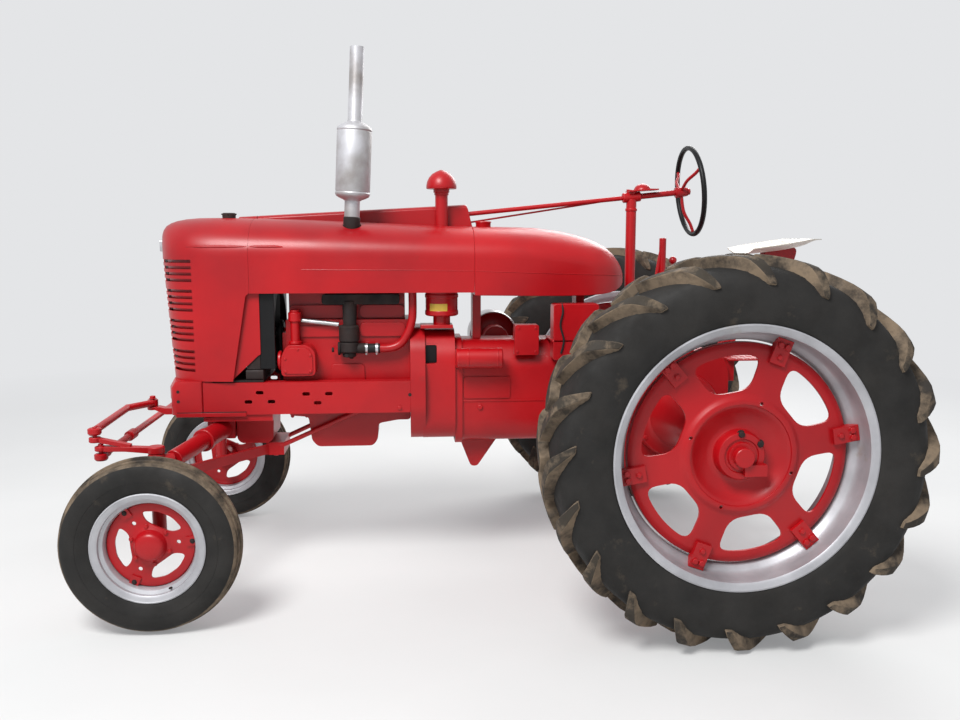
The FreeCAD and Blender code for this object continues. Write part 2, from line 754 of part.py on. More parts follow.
def steering_shaft():
    shaft = pin(column_point(HUMP_REAR_X + 60), column_point(WHEEL_HUB_X - 12), COLUMN_RADIUS)
    hub = rod(column_point(WHEEL_HUB_X + 30), column_point(WHEEL_HUB_X - 26), 25)
    rim_centre = column_point(WHEEL_HUB_X - STEERING_DISH)
    up = Y_AXIS.cross(COLUMN_WAY).normalize()
    reach = (STEERING_RADIUS - STEERING_RIM) * math.cos(math.pi / STEERING_SIDES) + 0.4
    spokes = []
    for k in range(3):
        angle = math.radians(90 + 120 * k)
        way = up * math.sin(angle) + Y_AXIS * math.cos(angle)
        elbow = column_point(WHEEL_HUB_X - STEERING_DISH * 0.25) + way * 90
        spokes.append(rod(column_point(WHEEL_HUB_X) + way * 12, elbow, 8))
        spokes.append(rod(elbow - way * 3, rim_centre + way * reach, 8))
    return fuse(shaft, hub, *spokes)


def steering_rim():
    centre = column_point(WHEEL_HUB_X - STEERING_DISH)
    profile = []
    for k in range(6):
        angle = math.radians(60 * k)
        profile.append((STEERING_RIM * math.sin(angle), STEERING_RADIUS - STEERING_RIM * math.cos(angle)))
    return turned(profile, centre, COLUMN_WAY, STEERING_SIDES)


# Bonnet, grille and tank
def hood_section(x, half, low, side_top, top, rake=0.0):
    # A closed section: flat bottom, upright sides, shoulders in short flats and a crowned top.
    shoulder = min(HOOD_SHOULDER, half * 0.46)
    crown = top - 0.022 * half
    right = [(half, low)]
    for step in range(4):
        angle = math.radians(30 * step)
        y = half - shoulder * (1 - math.cos(angle))
        z = side_top + (crown - side_top) * math.sin(angle)
        right.append((y, z))
    outline = right + [(0, top)] + [(-y, z) for y, z in reversed(right)]
    return [Vector(x - rake * (top - z), y, z) for y, z in outline]


def ridge_top(x):
    # The height of the ridge over the steering shaft, which rises from the shell to the rear.
    return HOOD_TOP + (HUMP_TOP - HOOD_TOP) * (HUMP_FRONT_X - x) / (HUMP_FRONT_X - HUMP_REAR_X)


def hood():
    x0, x1 = HOOD_REAR_X, HOOD_FRONT_X
    wall = HOOD_WALL
    outer = []
    inner = []
    for x, over in ((x0, -5), (x1, 5)):
        outer.append(hood_section(x, HOOD_HALF, HOOD_LOW, HOOD_SIDE_TOP, HOOD_TOP))
        inner.append(hood_section(x + over, HOOD_HALF - wall, HOOD_LOW - 20, HOOD_SIDE_TOP, HOOD_TOP - wall))
    base = HOOD_TOP - 26
    ridge = [(x1, base), (x0 + 8, base), (x0 + 2, HOOD_TOP + 4), (HUMP_REAR_X, HUMP_TOP), (x1, ridge_top(x1))]
    hump = side_profile(ridge, HUMP_Y - HUMP_HALF, HUMP_Y + HUMP_HALF)
    column = bore(column_point(HUMP_REAR_X - 40), column_point(HUMP_REAR_X + 90), COLUMN_RADIUS, 8)
    pipe = rod((MUFFLER_X, MUFFLER_Y, HOOD_TOP - 60), (MUFFLER_X, MUFFLER_Y, HOOD_TOP + 30), MUFFLER_PIPE_RADIUS + 10)
    return skinned(outer).fuse(hump).cut(skinned(inner)).cut(column).cut(pipe).removeSplitter()


def grille_shell():
    # Sections from the seam to the nose: x, half width, top, how much of the rake applies.
    sections = (
        (HOOD_FRONT_X + SEAM, 0.0, 0.0, 0.0),
        (2205.0, 16.0, 5.0, 1.0),
        (2312.0, 66.0, 20.0, 1.0),
        (2362.0, 140.0, 50.0, 1.0),
        (NOSE_X, 220.0, 92.0, 1.0),
    )

    def nose(inset, low):
        rows = []
        for x, narrower, lower, share in sections:
            place = x - inset * (x > 2200)
            half = HOOD_HALF - narrower - inset
            rows.append(
                hood_section(place, half, low, HOOD_SIDE_TOP - lower, HOOD_TOP - lower - inset, NOSE_RAKE * share)
            )
        return skinned(rows)
    wall = HOOD_WALL + 1
    shell = nose(0.0, BOLSTER_TOP + SEAT_GAP).cut(nose(wall, BOLSTER_TOP - 30))
    slots = []
    for middle in SLOT_GROUPS:
        for k in range(SLOTS_IN_GROUP):
            z = middle - SLOT_PITCH * (k - 1.5)
            for y0, y1 in ((NOSE_STRIP_HALF, 300), (-300, -NOSE_STRIP_HALF)):
                slots.append(block(SLOT_BACK_X, NOSE_X + 30, y0, y1, z - SLOT_HEIGHT / 2, z + SLOT_HEIGHT / 2))
    back = block(HOOD_FRONT_X - 60, HOOD_FRONT_X + SEAM + 20, -HOOD_HALF + 5, HOOD_HALF - 5, BOLSTER_TOP - 20, HOOD_TOP - 60)
    below = block(HOOD_FRONT_X - 60, SHELL_REAR_X, -HOOD_HALF - 5, HOOD_HALF + 5, BOLSTER_TOP - 20, HOOD_LOW)
    neck = rod((CAP_X, 0, HOOD_TOP - 60), (CAP_X, 0, HOOD_TOP + 30), CAP_RADIUS)
    plate = block(NOSE_X - 30, NOSE_X + PLATE_STANDS, -PLATE_HALF, PLATE_HALF, PLATE_LOW, PLATE_HIGH)
    seam = HOOD_FRONT_X + SEAM
    foot = HOOD_TOP - wall - 1
    ridge = side_profile(
        [(HUMP_FRONT_X, foot), (seam, foot), (seam, ridge_top(seam)), (HUMP_FRONT_X, HOOD_TOP)],
        HUMP_Y - HUMP_HALF,
        HUMP_Y + HUMP_HALF,
    )
    return cut(shell, back, below, neck, *slots).fuse(plate.cut(nose(wall, BOLSTER_TOP - 30))).fuse(ridge)


def fuel_tank():
    # Sections from the seam to the tail: x, half width, bottom, where the side ends, top.
    sections = (
        (HOOD_REAR_X - SEAM, HOOD_HALF, 1316.0, HOOD_SIDE_TOP, HOOD_TOP),
        (617.0, HOOD_HALF - 8, 1312.0, 1464.0, 1616.0),
        (375.0, HOOD_HALF - 50, 1312.0, 1430.0, 1545.0),
        (262.0, HOOD_HALF - 112, 1326.0, 1406.0, 1478.0),
        (TANK_TAIL_X, HOOD_HALF - 190, 1358.0, 1388.0, 1418.0),
    )
    return skinned([hood_section(*section) for section in sections])


def tank_bottom(x):
    return max(1312.0, 1316.0 - (HOOD_REAR_X - x) * 4.0 / 327.0)


def tank_supports():
    # Two saddles on the transmission that carry the tank.
    saddles = []
    for x in (400, 900):
        foot = 1100 + SEAT_GAP
        outline = [(x, foot), (x + 40, foot), (x + 40, tank_bottom(x + 40) - SEAT_GAP), (x, tank_bottom(x) - SEAT_GAP)]
        saddles.append(side_profile(outline, -55, 55))
    return Part.makeCompound(saddles)


# Engine
def engine_block():
    half = BLOCK_HALF
    body = block(BLOCK_REAR_X, BLOCK_FRONT_X, -half, half, BLOCK_LOW, BLOCK_TOP)
    front = block(BLOCK_FRONT_X - 1, BLOCK_FRONT_X + 18, -half + 10, half - 10, BLOCK_LOW + 6, BLOCK_TOP - 60)
    nose = rod((BLOCK_FRONT_X, 0, FAN_Z), (FAN_REAR_X - SEAT_GAP, 0, FAN_Z), 26)
    shaft = pin((BLOCK_FRONT_X, 0, FAN_Z), (FAN_X + 10, 0, FAN_Z), FAN_SHAFT_RADIUS)
    snout = rod((BLOCK_FRONT_X, 0, CRANK_Z), (FAN_X - 24, 0, CRANK_Z), 22)
    side = RAIL_OUT - RAIL_WALL - SEAT_GAP
    foot = block(BLOCK_REAR_X, BLOCK_REAR_X + 90, -side, side, 800, 900)
    return fuse(body, front, nose, shaft, snout, foot)


def cylinder_head():
    head = block(1262, 1800, -HEAD_HALF, HEAD_HALF, BLOCK_TOP, HEAD_TOP)
    half = 70
    top = COVER_HIGH
    edge = 24
    low = HEAD_TOP - 1
    cover = cross_profile(
        [(-half, low), (half, low), (half, top - edge), (half - edge, top), (edge - half, top), (-half, top - edge)],
        1285,
        1770,
    )
    outlet = rod((1778, 0, HEAD_TOP - 10), (1778, 0, HEAD_TOP + 50), 30)
    return fuse(head, cover, outlet)


def oil_pan():
    outline = [
        (1240.5, BLOCK_LOW),
        (BLOCK_FRONT_X, BLOCK_LOW),
        (BLOCK_FRONT_X, 744),
        (1722, 736),
        (1708, 622),
        (1680, 592),
        (1420, 592),
        (1397, 622),
        (1392, 700),
        (1300, 716),
        (1240.5, 716),
    ]
    return side_profile(outline, -PAN_HALF, PAN_HALF)


def manifold():
    y = CARBURETTOR_Y
    low, high = MANIFOLD_LOW, HEAD_TOP
    pieces = [
        block(1286, 1640, HEAD_HALF + 26, y + 25, low, high),
        rod((CARBURETTOR_X, y, 1100), (CARBURETTOR_X, y, low + 4), 28),
        rod((CARBURETTOR_X, y, 1100), (CARBURETTOR_X, y, 1112), 36),
        rod((MUFFLER_X, MUFFLER_Y, low + 20), (MUFFLER_X, MUFFLER_Y, HOOD_TOP - 17.8), 29),
    ]
    for x in (1296, 1400, 1500, 1590):
        pieces.append(block(x, x + 46, HEAD_HALF + SEAT_GAP, HEAD_HALF + 27, low + 4, high - 4))
    return fuse(*pieces)


def carburettor():
    x, y, z = CARBURETTOR_X, CARBURETTOR_Y, CARBURETTOR_Z
    bowl = rod((x, y, z - 36), (x, y, 1099.7), 34)
    throat = rod((x + 60, y, z), (x - 70, y, z), 24)
    elbow = block(x - 40, x + 40, BLOCK_HALF + SEAT_GAP, y, z - 22, z + 8)
    return fuse(bowl, throat, elbow)


def air_pipe():
    y = CARBURETTOR_Y
    z = CARBURETTOR_Z
    x = AIR_PIPE_X
    top = INLET_Z - 24 - SEAT_GAP
    start = CARBURETTOR_X - 70 - SEAT_GAP
    bend = [(x + 108, y, z), (x + 58, y, z + 22), (x + 24, y, z + 70), (x + 4, y, z + 125)]
    return bent_tube([(start, y, z), *bend, (x, y, top)], AIR_PIPE_RADIUS)


def air_cleaner():
    low = CLUTCH_TOP + SEAT_GAP
    can = rod((CLEANER_X, 120, 1216), (CLEANER_X, 120, 1440), CLEANER_RADIUS)
    bracket = block(CLEANER_X - 50, CLUTCH_FRONT_X - 50, 60, 180, low, low + 16)
    stem = rod((CLEANER_X, 120, low), (CLEANER_X, 120, 1217), 40)
    inlet = rod((CLEANER_X + 50, 140, INLET_Z), (AIR_PIPE_X + 24, CARBURETTOR_Y, INLET_Z), 24)
    return fuse(can, bracket, stem, inlet)


def governor():
    near = BLOCK_HALF + SEAT_GAP
    far = BLOCK_HALF + 96
    edge = 18
    body = plan_profile([(1672, near), (1826, near), (1826, far - edge), (1808, far), (1690, far), (1672, far - edge)], 950, 1092)
    y = BLOCK_HALF + 40
    cap = rod((1826, y + 10, 1020), (1842, y + 10, 1020), 44)
    neck = rod((1765, y, 1080), (1765, y, 1250), 21)
    collar = rod((1765, y, 1196), (1765, y, 1240), 30)
    return fuse(body, cap, neck, collar)


def radiator():
    half = RADIATOR_HALF
    core = block(RADIATOR_REAR_X, 1978, -half, half, 985, 1520)
    top_tank = block(1906, 1984, -200, 200, 1519, 1590)
    front_tank = block(1983, CAP_X + 34, -70, 70, 1530, 1590)
    low_tank = block(1906, 1984, -half, half, BOLSTER_TOP, 986)
    feet = block(1906, BOLSTER_REAR_X - SEAT_GAP, -half, half, RAIL_TOP + SEAT_GAP, BOLSTER_TOP + 1)
    neck = rod((CAP_X, 0, 1580), (CAP_X, 0, HOOD_TOP + 3), CAP_RADIUS - 6)
    cap = rod((CAP_X, 0, HOOD_TOP + 2), (CAP_X, 0, HOOD_TOP + 16), CAP_RADIUS)
    return fuse(core, top_tank, front_tank, low_tank, feet, neck, cap)


def fan_shroud():
    # The open-bottomed shroud behind the radiator core, clear of the fan's tips.
    shroud = block(FAN_X - 18, RADIATOR_REAR_X - SEAT_GAP, -RADIATOR_HALF, RADIATOR_HALF, 986 + SEAT_GAP, 1350)
    return shroud.cut(rod((FAN_X - 40, 0, FAN_Z), (FAN_X + 80, 0, FAN_Z), FAN_RADIUS + 10))


def fan():
    hub = rod((FAN_X - 8, 0, FAN_Z), (FAN_X + 18, 0, FAN_Z), 34)
    pulley = rod((FAN_REAR_X, 0, FAN_Z), (FAN_X - 8, 0, FAN_Z), FAN_PULLEY_RADIUS)
    blades = []
    for k in range(4):
        blade = block(FAN_X + 2, FAN_X + 6, -36, 36, 30, FAN_RADIUS)
        blade.rotate(Vector(FAN_X + 4, 0, 0), Z_AXIS, 24)
        blade.rotate(ORIGIN, X_AXIS, 90 * k)
        blades.append(blade.translated(Vector(0, 0, FAN_Z)))
    hole = bore((FAN_REAR_X - 5, 0, FAN_Z), (FAN_X + 11, 0, FAN_Z), FAN_SHAFT_RADIUS, SEAT_GAP)
    return fuse(hub, pulley, *blades).cut(hole)


def fan_belt():
    # The belt loop with the crank pulley inside its lower end.
    x0, x1 = FAN_X - 28, FAN_X - 14
    high_inner = FAN_PULLEY_RADIUS + BELT_GAP
    low_inner = CRANK_PULLEY_RADIUS

    def loop(high, low, start, end):
        return fuse(
            rod((start, 0, FAN_Z), (end, 0, FAN_Z), high),
            cross_profile([(-low, CRANK_Z), (low, CRANK_Z), (high, FAN_Z), (-high, FAN_Z)], start, end),
            rod((start, 0, CRANK_Z), (end, 0, CRANK_Z), low),
        )
    belt = loop(high_inner + BELT_THICK, low_inner + BELT_THICK, x0, x1).cut(loop(high_inner, low_inner, x0 - 1, x1 + 1))
    pulley = rod((FAN_X - 24, 0, CRANK_Z), (FAN_X - 18, 0, CRANK_Z), CRANK_PULLEY_RADIUS + 1)
    return fuse(belt, pulley).cut(rod((x0 - 5, 0, CRANK_Z), (x1 + 5, 0, CRANK_Z), 22.2 + SEAT_GAP))


def generator():
    body = rod((1560, -196, 1050), (1745, -196, 1050), 58)
    bracket = block(1590, 1720, -190, -BLOCK_HALF - 0.3, 960, 1040)
    distributor = rod((1400, -172, 1040), (1400, -172, 1190), 42)
    stem = block(1378, 1422, -180, -BLOCK_HALF - 0.3, 1000, 1050)
    return Part.makeCompound([fuse(body, bracket), fuse(distributor, stem)])


def starter():
    end = CLUTCH_REAR_X - SEAT_GAP
    z = STARTER_Z
    body = rod((815, STARTER_Y, z), (end, STARTER_Y, z), 46)
    gear = block(960, end, 169, STARTER_Y, z - 40, z + 34)
    return fuse(body, gear)


# Stacks
def exhaust():
    # Heights are along the pipe from just below the bonnet's top: height, radius.
    way = Vector(-MUFFLER_LEAN, 0, 800)
    base = Vector(MUFFLER_X, MUFFLER_Y, HOOD_TOP - 16)
    pipe = MUFFLER_PIPE_RADIUS
    profile = [
        (0, 0),
        (0, pipe + 3),
        (86, pipe + 3),
        (112, MUFFLER_RADIUS),
        (400, MUFFLER_RADIUS),
        (436, pipe),
        (766, pipe),
        (766, pipe - 4),
        (470, pipe - 4),
        (470, 0),
    ]
    return turned(profile, base, way, 14)


def air_stack():
    low = HOOD_TOP + SEAT_GAP
    profile = [
        (low, 0),
        (low, STACK_RADIUS + 3),
        (low + 14, STACK_RADIUS + 3),
        (low + 14, STACK_RADIUS),
        (1806, STACK_RADIUS),
        (1808, 70),
        (1826, 70),
        (1862, 58),
        (1895, 0),
    ]
    return turned(profile, Vector(STACK_X, 0, 0), Z_AXIS, 14)


# Transmission and rear
def clutch_housing():
    front = cross_profile(
        [(-RAIL_OUT, 780), (-RAIL_OUT, 930), (-190, 1090), (-120, CLUTCH_TOP), (120, CLUTCH_TOP), (190, 1090), (RAIL_OUT, 930),
         (RAIL_OUT, 780), (170, 660), (120, 632), (-120, 632), (-170, 660)],
        CLUTCH_FRONT_X - 70,
        CLUTCH_FRONT_X - 0.3,
    )
    bell = cross_profile(
        [(-196, 700), (-196, 1040), (-120, 1150), (120, 1150), (196, 1040), (196, 700), (150, 634), (-150, 634)],
        CLUTCH_REAR_X,
        CLUTCH_FRONT_X - 60,
    )
    window = block(1116, 1168, 160, 240, 997, 1082)
    return fuse(front, bell).cut(window)


def transmission_case():
    tube = cross_profile(
        [(-168, 690), (-168, 1000), (-100, 1100), (100, 1100), (168, 1000), (168, 690), (130, 614), (-130, 614)],
        230,
        CLUTCH_REAR_X - SEAT_GAP,
    )
    rear = side_profile(
        [(-230, 470), (CASE_REAR_X, 520), (CASE_REAR_X, 960), (-220, 1040), (300, 1090), (300, 560), (230, 470)],
        -CASE_HALF,
        CASE_HALF,
    )
    cover = block(-60, 300, -220, 220, 1040, COVER_TOP)
    lug_end = side_profile([(1005, 616), (960, 500), (948, 474), (918, 474), (900, 500), (820, 616)], -60, 60)
    shaft = pin((CASE_REAR_X + 10, 0, PTO_Z), (CASE_REAR_X - PTO_LENGTH, 0, PTO_Z), PTO_RADIUS)
    pulley_boss = rod((PULLEY_X, -110, PULLEY_Z), (PULLEY_X, PULLEY_NEAR_Y + 12, PULLEY_Z), 62)
    pulley_shaft = pin((PULLEY_X, -200, PULLEY_Z), (PULLEY_X, PULLEY_NEAR_Y - 92, PULLEY_Z), PULLEY_SHAFT_RADIUS)
    return fuse(tube, rear, cover, lug_end, shaft, pulley_boss, pulley_shaft)


def belt_pulley():
    # An open drum on a web and a hub, on the transmission's right side.
    near, far = PULLEY_NEAR_Y, PULLEY_FAR_Y
    inside = PULLEY_RADIUS - PULLEY_WALL
    web = near - 52
    profile = [
        (near - 12, 0),
        (near - 12, 40),
        (web, 40),
        (web, inside),
        (near, inside),
        (near, PULLEY_RADIUS),
        (far, PULLEY_RADIUS),
        (far, inside),
        (web - 10, inside),
        (web - 10, 0),
    ]
    drum = turned(profile, Vector(PULLEY_X, 0, PULLEY_Z), Y_AXIS, PULLEY_SIDES)
    return drum.cut(bore((PULLEY_X, near, PULLEY_Z), (PULLEY_X, far, PULLEY_Z), PULLEY_SHAFT_RADIUS, SHAFT_GAP))


def left_box():
    # The box that hangs over the transmission's left shoulder.
    top = block(640, 756, 100, 196, 1100 + SEAT_GAP, 1175)
    side = block(640, 756, 168 + SEAT_GAP, 196, 1034, 1101)
    return fuse(top, side)


def axle_housings():
    housings = []
    end = AXLE_HOUSING_END_Y
    for side in (1, -1):
        drum = rod((0, side * (CASE_HALF + SEAT_GAP), REAR_RADIUS), (0, side * 330, REAR_RADIUS), 205)
        horn = cone((0, side * 329, REAR_RADIUS), (0, side * 560, REAR_RADIUS), 140, 92)
        tube = rod((0, side * 559, REAR_RADIUS), (0, side * end, REAR_RADIUS), 86)
        hole = bore((0, side * (end - 64), REAR_RADIUS), (0, side * 900, REAR_RADIUS), REAR_AXLE_RADIUS, SEAT_GAP)
        housings.append(fuse(drum, horn, tube).cut(hole))
    return Part.makeCompound(housings)


def drawbar():
    low = DRAWBAR_Z - DRAWBAR_THICK / 2
    high = DRAWBAR_Z + DRAWBAR_THICK / 2
    half = DRAWBAR_WIDTH / 2
    bar = block(DRAWBAR_END_X, 120, -half, half, low, high)
    tip = rod((DRAWBAR_END_X, 0, low), (DRAWBAR_END_X, 0, high), half)
    hole = pin((DRAWBAR_END_X, 0, low - 30), (DRAWBAR_END_X, 0, high + 30), DRAWBAR_HOLE_RADIUS)
    whole = fuse(bar, tip).cut(hole)
    pieces = [block(-470, -430, -300, 300, low - 14, low)]
    for side in (1, -1):
        near, far = sorted((side * 286, side * 300))
        pieces.append(block(-470, -430, near, far, low - 14, 560))
        near, far = sorted((side * (CASE_HALF + SEAT_GAP), side * 300))
        pieces.append(block(-470, CASE_REAR_X + 120, near, far, 520, 560))
    pieces.append(rod((100, 0, DRAWBAR_Z), (100, 0, 470 - SEAT_GAP), 24))
    return fuse(whole, *pieces)


def operator_platform():
    # The floor plate behind the transmission, and the box beside it on its own shelf.
    end = CASE_REAR_X - SEAT_GAP
    plate = block(-560, end, -CASE_HALF, CASE_HALF, 1000, PLATE_TOP)
    leg = block(-300, end, -200, 200, 900, 1001)
    box = block(372, 583, 172, 268, 1017, 1277)
    shelf = block(300.3, 588, 60, 268, 1100.3, 1112)
    return Part.makeCompound([fuse(plate, leg), fuse(box, shelf)])


def seat_under(x):
    # The height of the seat pan's underside.
    return SEAT_LOW + SEAT_SLOPE * (SEAT_FRONT_X - x)


def seat_pan():
    # A shallow metal pan that rises to the rear.
    half = [
        (SEAT_FRONT_X, 90),
        (SEAT_FRONT_X - 30, SEAT_HALF - 40),
        (SEAT_FRONT_X - 140, SEAT_HALF),
        (SEAT_REAR_X + 70, SEAT_HALF - 10),
        (SEAT_REAR_X, 100),
    ]
    outline = half + [(x, -y) for x, y in reversed(half)]
    slab = side_profile(
        [
            (SEAT_FRONT_X, seat_under(SEAT_FRONT_X)),
            (SEAT_REAR_X, seat_under(SEAT_REAR_X)),
            (SEAT_REAR_X, seat_under(SEAT_REAR_X) + 20),
            (SEAT_FRONT_X, seat_under(SEAT_FRONT_X) + 14),
        ],
        -SEAT_HALF,
        SEAT_HALF,
    )
    return plan_profile(outline, 1440, 1640).common(slab)


def seat_support():
    foot = PLATE_TOP + SEAT_GAP
    outline = [
        (-320, foot),
        (-500, 1270),
        (-640, 1440),
        (-664, seat_under(-664) - SEAT_GAP),
        (-480, seat_under(-480) - SEAT_GAP),
        (-540, 1430),
        (-330, 1120),
        (-270, foot),
    ]
    return side_profile(outline, -30, 30)


def steering_post():
    foot_z = COVER_TOP + SEAT_GAP
    top = column_point(POST_X)
    post = rod((POST_X, COLUMN_Y, foot_z), (POST_X, COLUMN_Y, top.z - COLUMN_RADIUS - 4), POST_RADIUS)
    foot = rod((POST_X, COLUMN_Y, foot_z), (POST_X, COLUMN_Y, foot_z + 28), 60)
    bearing = rod(column_point(POST_X + 45), column_point(POST_X - 45), 26)
    quadrant = cone((POST_X + 4, COLUMN_Y, top.z + 24), (POST_X + 4, COLUMN_Y, top.z + 48), 58, 22)
    saddle = block(POST_X - 60, POST_X + 68, COLUMN_Y - 20, COLUMN_Y + 20, top.z + 14, top.z + 27)
    lever = rod((POST_X + 4, COLUMN_Y, top.z + 38), (POST_X - 96, COLUMN_Y + 30, top.z + 34), 5)
    through = bore(column_point(POST_X + 150), column_point(POST_X - 150), COLUMN_RADIUS, SEAT_GAP)
    return fuse(post, foot, bearing, quadrant, saddle, lever).cut(through)


def control_levers():
    # Gear lever, hand lever and pedals, each on the transmission by its own base.
    base = COVER_TOP + SEAT_GAP
    gear = fuse(
        rod((20, -150, base + 10), (-40, -160, 1560), 9),
        ball((-40, -160, 1560), 19),
        rod((20, -150, base), (20, -150, base + 30), 26),
    )
    hand = fuse(
        rod((60, -190, base + 6), (-118, -212, 1465), 8),
        ball((-118, -212, 1465), 20),
        rod((60, -190, base), (60, -190, base + 20), 14),
    )
    pieces = [gear, hand]
    for side, places in ((-1, (262, 330)), (1, (262,))):
        near = CASE_HALF + SEAT_GAP
        far = max(places) + 26
        pedals = [rod((PEDAL_X, side * near, PEDAL_Z), (PEDAL_X, side * far, PEDAL_Z), 16)]
        for y in places:
            pedals.append(rod((PEDAL_X, side * y, PEDAL_Z), (120, side * y, 1075), 11))
            pedals.append(block(80, 150, side * y - 28, side * y + 28, 1072, 1082))
        pieces.append(fuse(*pedals))
    return Part.makeCompound(pieces)


NODES = {
    "front_bolster": front_bolster,
    "side_rails": side_rails,
    "axle_carrier": axle_carrier,
    "front_axle": front_axle,
    "axle_braces": axle_braces,
    "knuckle_left": knuckle_left,
    "knuckle_right": knuckle_right,
    "tie_rod": tie_rod,
    "drag_link": drag_link,
    "pitman_arm": pitman_arm,
    "steering_shaft": steering_shaft,
    "steering_rim": steering_rim,
    "steering_post": steering_post,
    "grille_shell": grille_shell,
    "hood": hood,
    "fuel_tank": fuel_tank,
    "tank_supports": tank_supports,
    "radiator": radiator,
    "fan": fan,
    "fan_shroud": fan_shroud,
    "fan_belt": fan_belt,
    "engine_block": engine_block,
    "cylinder_head": cylinder_head,
    "oil_pan": oil_pan,
    "manifold": manifold,
    "carburettor": carburettor,
    "air_pipe": air_pipe,
    "air_cleaner": air_cleaner,
    "governor": governor,
    "generator": generator,
    "starter": starter,
    "exhaust": exhaust,
    "air_stack": air_stack,
    "clutch_housing": clutch_housing,
    "transmission_case": transmission_case,
    "belt_pulley": belt_pulley,
    "left_box": left_box,
    "axle_housings": axle_housings,
    "drawbar": drawbar,
    "operator_platform": operator_platform,
    "seat_pan": seat_pan,
    "seat_support": seat_support,
    "control_levers": control_levers,
}

WHEEL_NODES = {
    "rear_tyre": rear_tyre,
    "rear_rim": rear_rim,
    "rear_disc": rear_disc,
    "front_tyre": front_tyre,
    "front_rim": front_rim,
    "front_disc": front_disc,
}


def main():
    os.makedirs("parts", exist_ok=True)
    to_origin = Vector(-LENGTH_MIDDLE, 0, 0)
    pieces = {node: make() for node, make in NODES.items()}
    for name, make in WHEEL_NODES.items():
        left = make()
        for side, place in SIDES.items():
            pieces[f"{name}_{side}"] = place(left)
    for node, shape in pieces.items():
        shape.translated(to_origin).exportStep(f"parts/{node}.step")


main()
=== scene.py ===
import json
import math

import bmesh
import bpy
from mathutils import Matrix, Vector


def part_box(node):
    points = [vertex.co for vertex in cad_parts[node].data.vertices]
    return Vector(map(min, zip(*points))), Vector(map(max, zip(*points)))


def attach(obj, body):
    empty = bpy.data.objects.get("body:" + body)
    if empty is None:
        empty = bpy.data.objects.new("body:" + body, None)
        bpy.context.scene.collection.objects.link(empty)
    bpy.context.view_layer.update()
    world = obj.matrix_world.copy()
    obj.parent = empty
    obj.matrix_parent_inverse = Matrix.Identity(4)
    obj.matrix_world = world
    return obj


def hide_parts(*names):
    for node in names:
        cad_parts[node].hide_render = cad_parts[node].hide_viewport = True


bl_info = {
    "name": "Row-Crop Tractor",
    "version": (1, 0, 0),
    "blender": (4, 5, 0),
    "location": "View3D > Sidebar > Tractor",
    "description": "Dresses the packed tractor with finished tyres, panels, castings and paint",
    "category": "Add Mesh",
}

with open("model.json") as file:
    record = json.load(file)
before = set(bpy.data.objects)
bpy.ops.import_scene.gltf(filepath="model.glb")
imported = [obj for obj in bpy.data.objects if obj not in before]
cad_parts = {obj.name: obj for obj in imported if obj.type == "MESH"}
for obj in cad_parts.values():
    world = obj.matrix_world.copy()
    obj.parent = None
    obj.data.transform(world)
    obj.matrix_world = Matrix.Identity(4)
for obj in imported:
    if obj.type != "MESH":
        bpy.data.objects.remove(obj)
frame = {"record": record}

MM = 0.001
CREASE = 35.0
RED, STEEL, IRON, BLACK = "red paint", "bright steel", "dark iron", "black paint"
REAR_AXLE_X = (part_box("rear_tyre_left")[0].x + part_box("rear_tyre_left")[1].x) / 2
REAR_CENTRE = (0.0, 1026.0, 760.0)
FRONT_CENTRE = (2283.0, 763.0, 360.0)
BODIES = frame["record"]["behaviour"]["bodies"]
BODY_OF_NODE = {node: body for body, nodes in BODIES.items() for node in nodes}


def at(x, y, z):
    """Turns millimetres ahead of the rear axle into the frame's metres."""
    return Vector((REAR_AXLE_X + x * MM, y * MM, z * MM))


def linear(red, green, blue):
    """Turns a screen colour, each part from 0 to 255, into a shader colour."""
    parts = []
    for part in (red, green, blue):
        share = part / 255
        parts.append(share / 12.92 if share <= 0.04045 else ((share + 0.055) / 1.055) ** 2.4)
    return (*parts, 1.0)


# Settings
class PaintSettings(bpy.types.PropertyGroup):
    red: bpy.props.FloatVectorProperty(
        name="Red paint", description="Colour of the body and wheel centres", subtype="COLOR", size=4,
        min=0, max=1, default=linear(176, 8, 17),
    )
    shade: bpy.props.FloatVectorProperty(
        name="Old red", description="Darker tone that the red drifts to", subtype="COLOR", size=4,
        min=0, max=1, default=linear(142, 7, 17),
    )
    silver: bpy.props.FloatVectorProperty(
        name="Rim silver", description="Colour of the rims and the silencer", subtype="COLOR", size=4,
        min=0, max=1, default=linear(186, 186, 190),
    )
    rubber: bpy.props.FloatVectorProperty(
        name="Rubber", description="Colour of clean tyre rubber", subtype="COLOR", size=4,
        min=0, max=1, default=linear(29, 28, 27),
    )
    dust: bpy.props.FloatVectorProperty(
        name="Field dust", description="Colour of the dry soil on the tyres", subtype="COLOR", size=4,
        min=0, max=1, default=linear(122, 106, 88),
    )


class TyreSettings(bpy.types.PropertyGroup):
    lugs: bpy.props.IntProperty(
        name="Lugs", description="Lugs on each side of a rear tyre", default=20, min=8, max=40,
    )
    edge: bpy.props.FloatProperty(
        name="Lug edge", description="Width of the worn edge on each lug", default=0.004, unit="LENGTH",
    )


class PanelSettings(bpy.types.PropertyGroup):
    slot_height: bpy.props.FloatProperty(
        name="Slot height", description="Height of one slot in the grille", default=0.014, unit="LENGTH",
    )
    slot_pitch: bpy.props.FloatProperty(
        name="Slot pitch", description="Distance between slots in a group", default=0.0282, unit="LENGTH",
    )
    wall: bpy.props.FloatProperty(
        name="Sheet", description="Thickness of the bonnet's sheet metal", default=0.004, unit="LENGTH",
    )


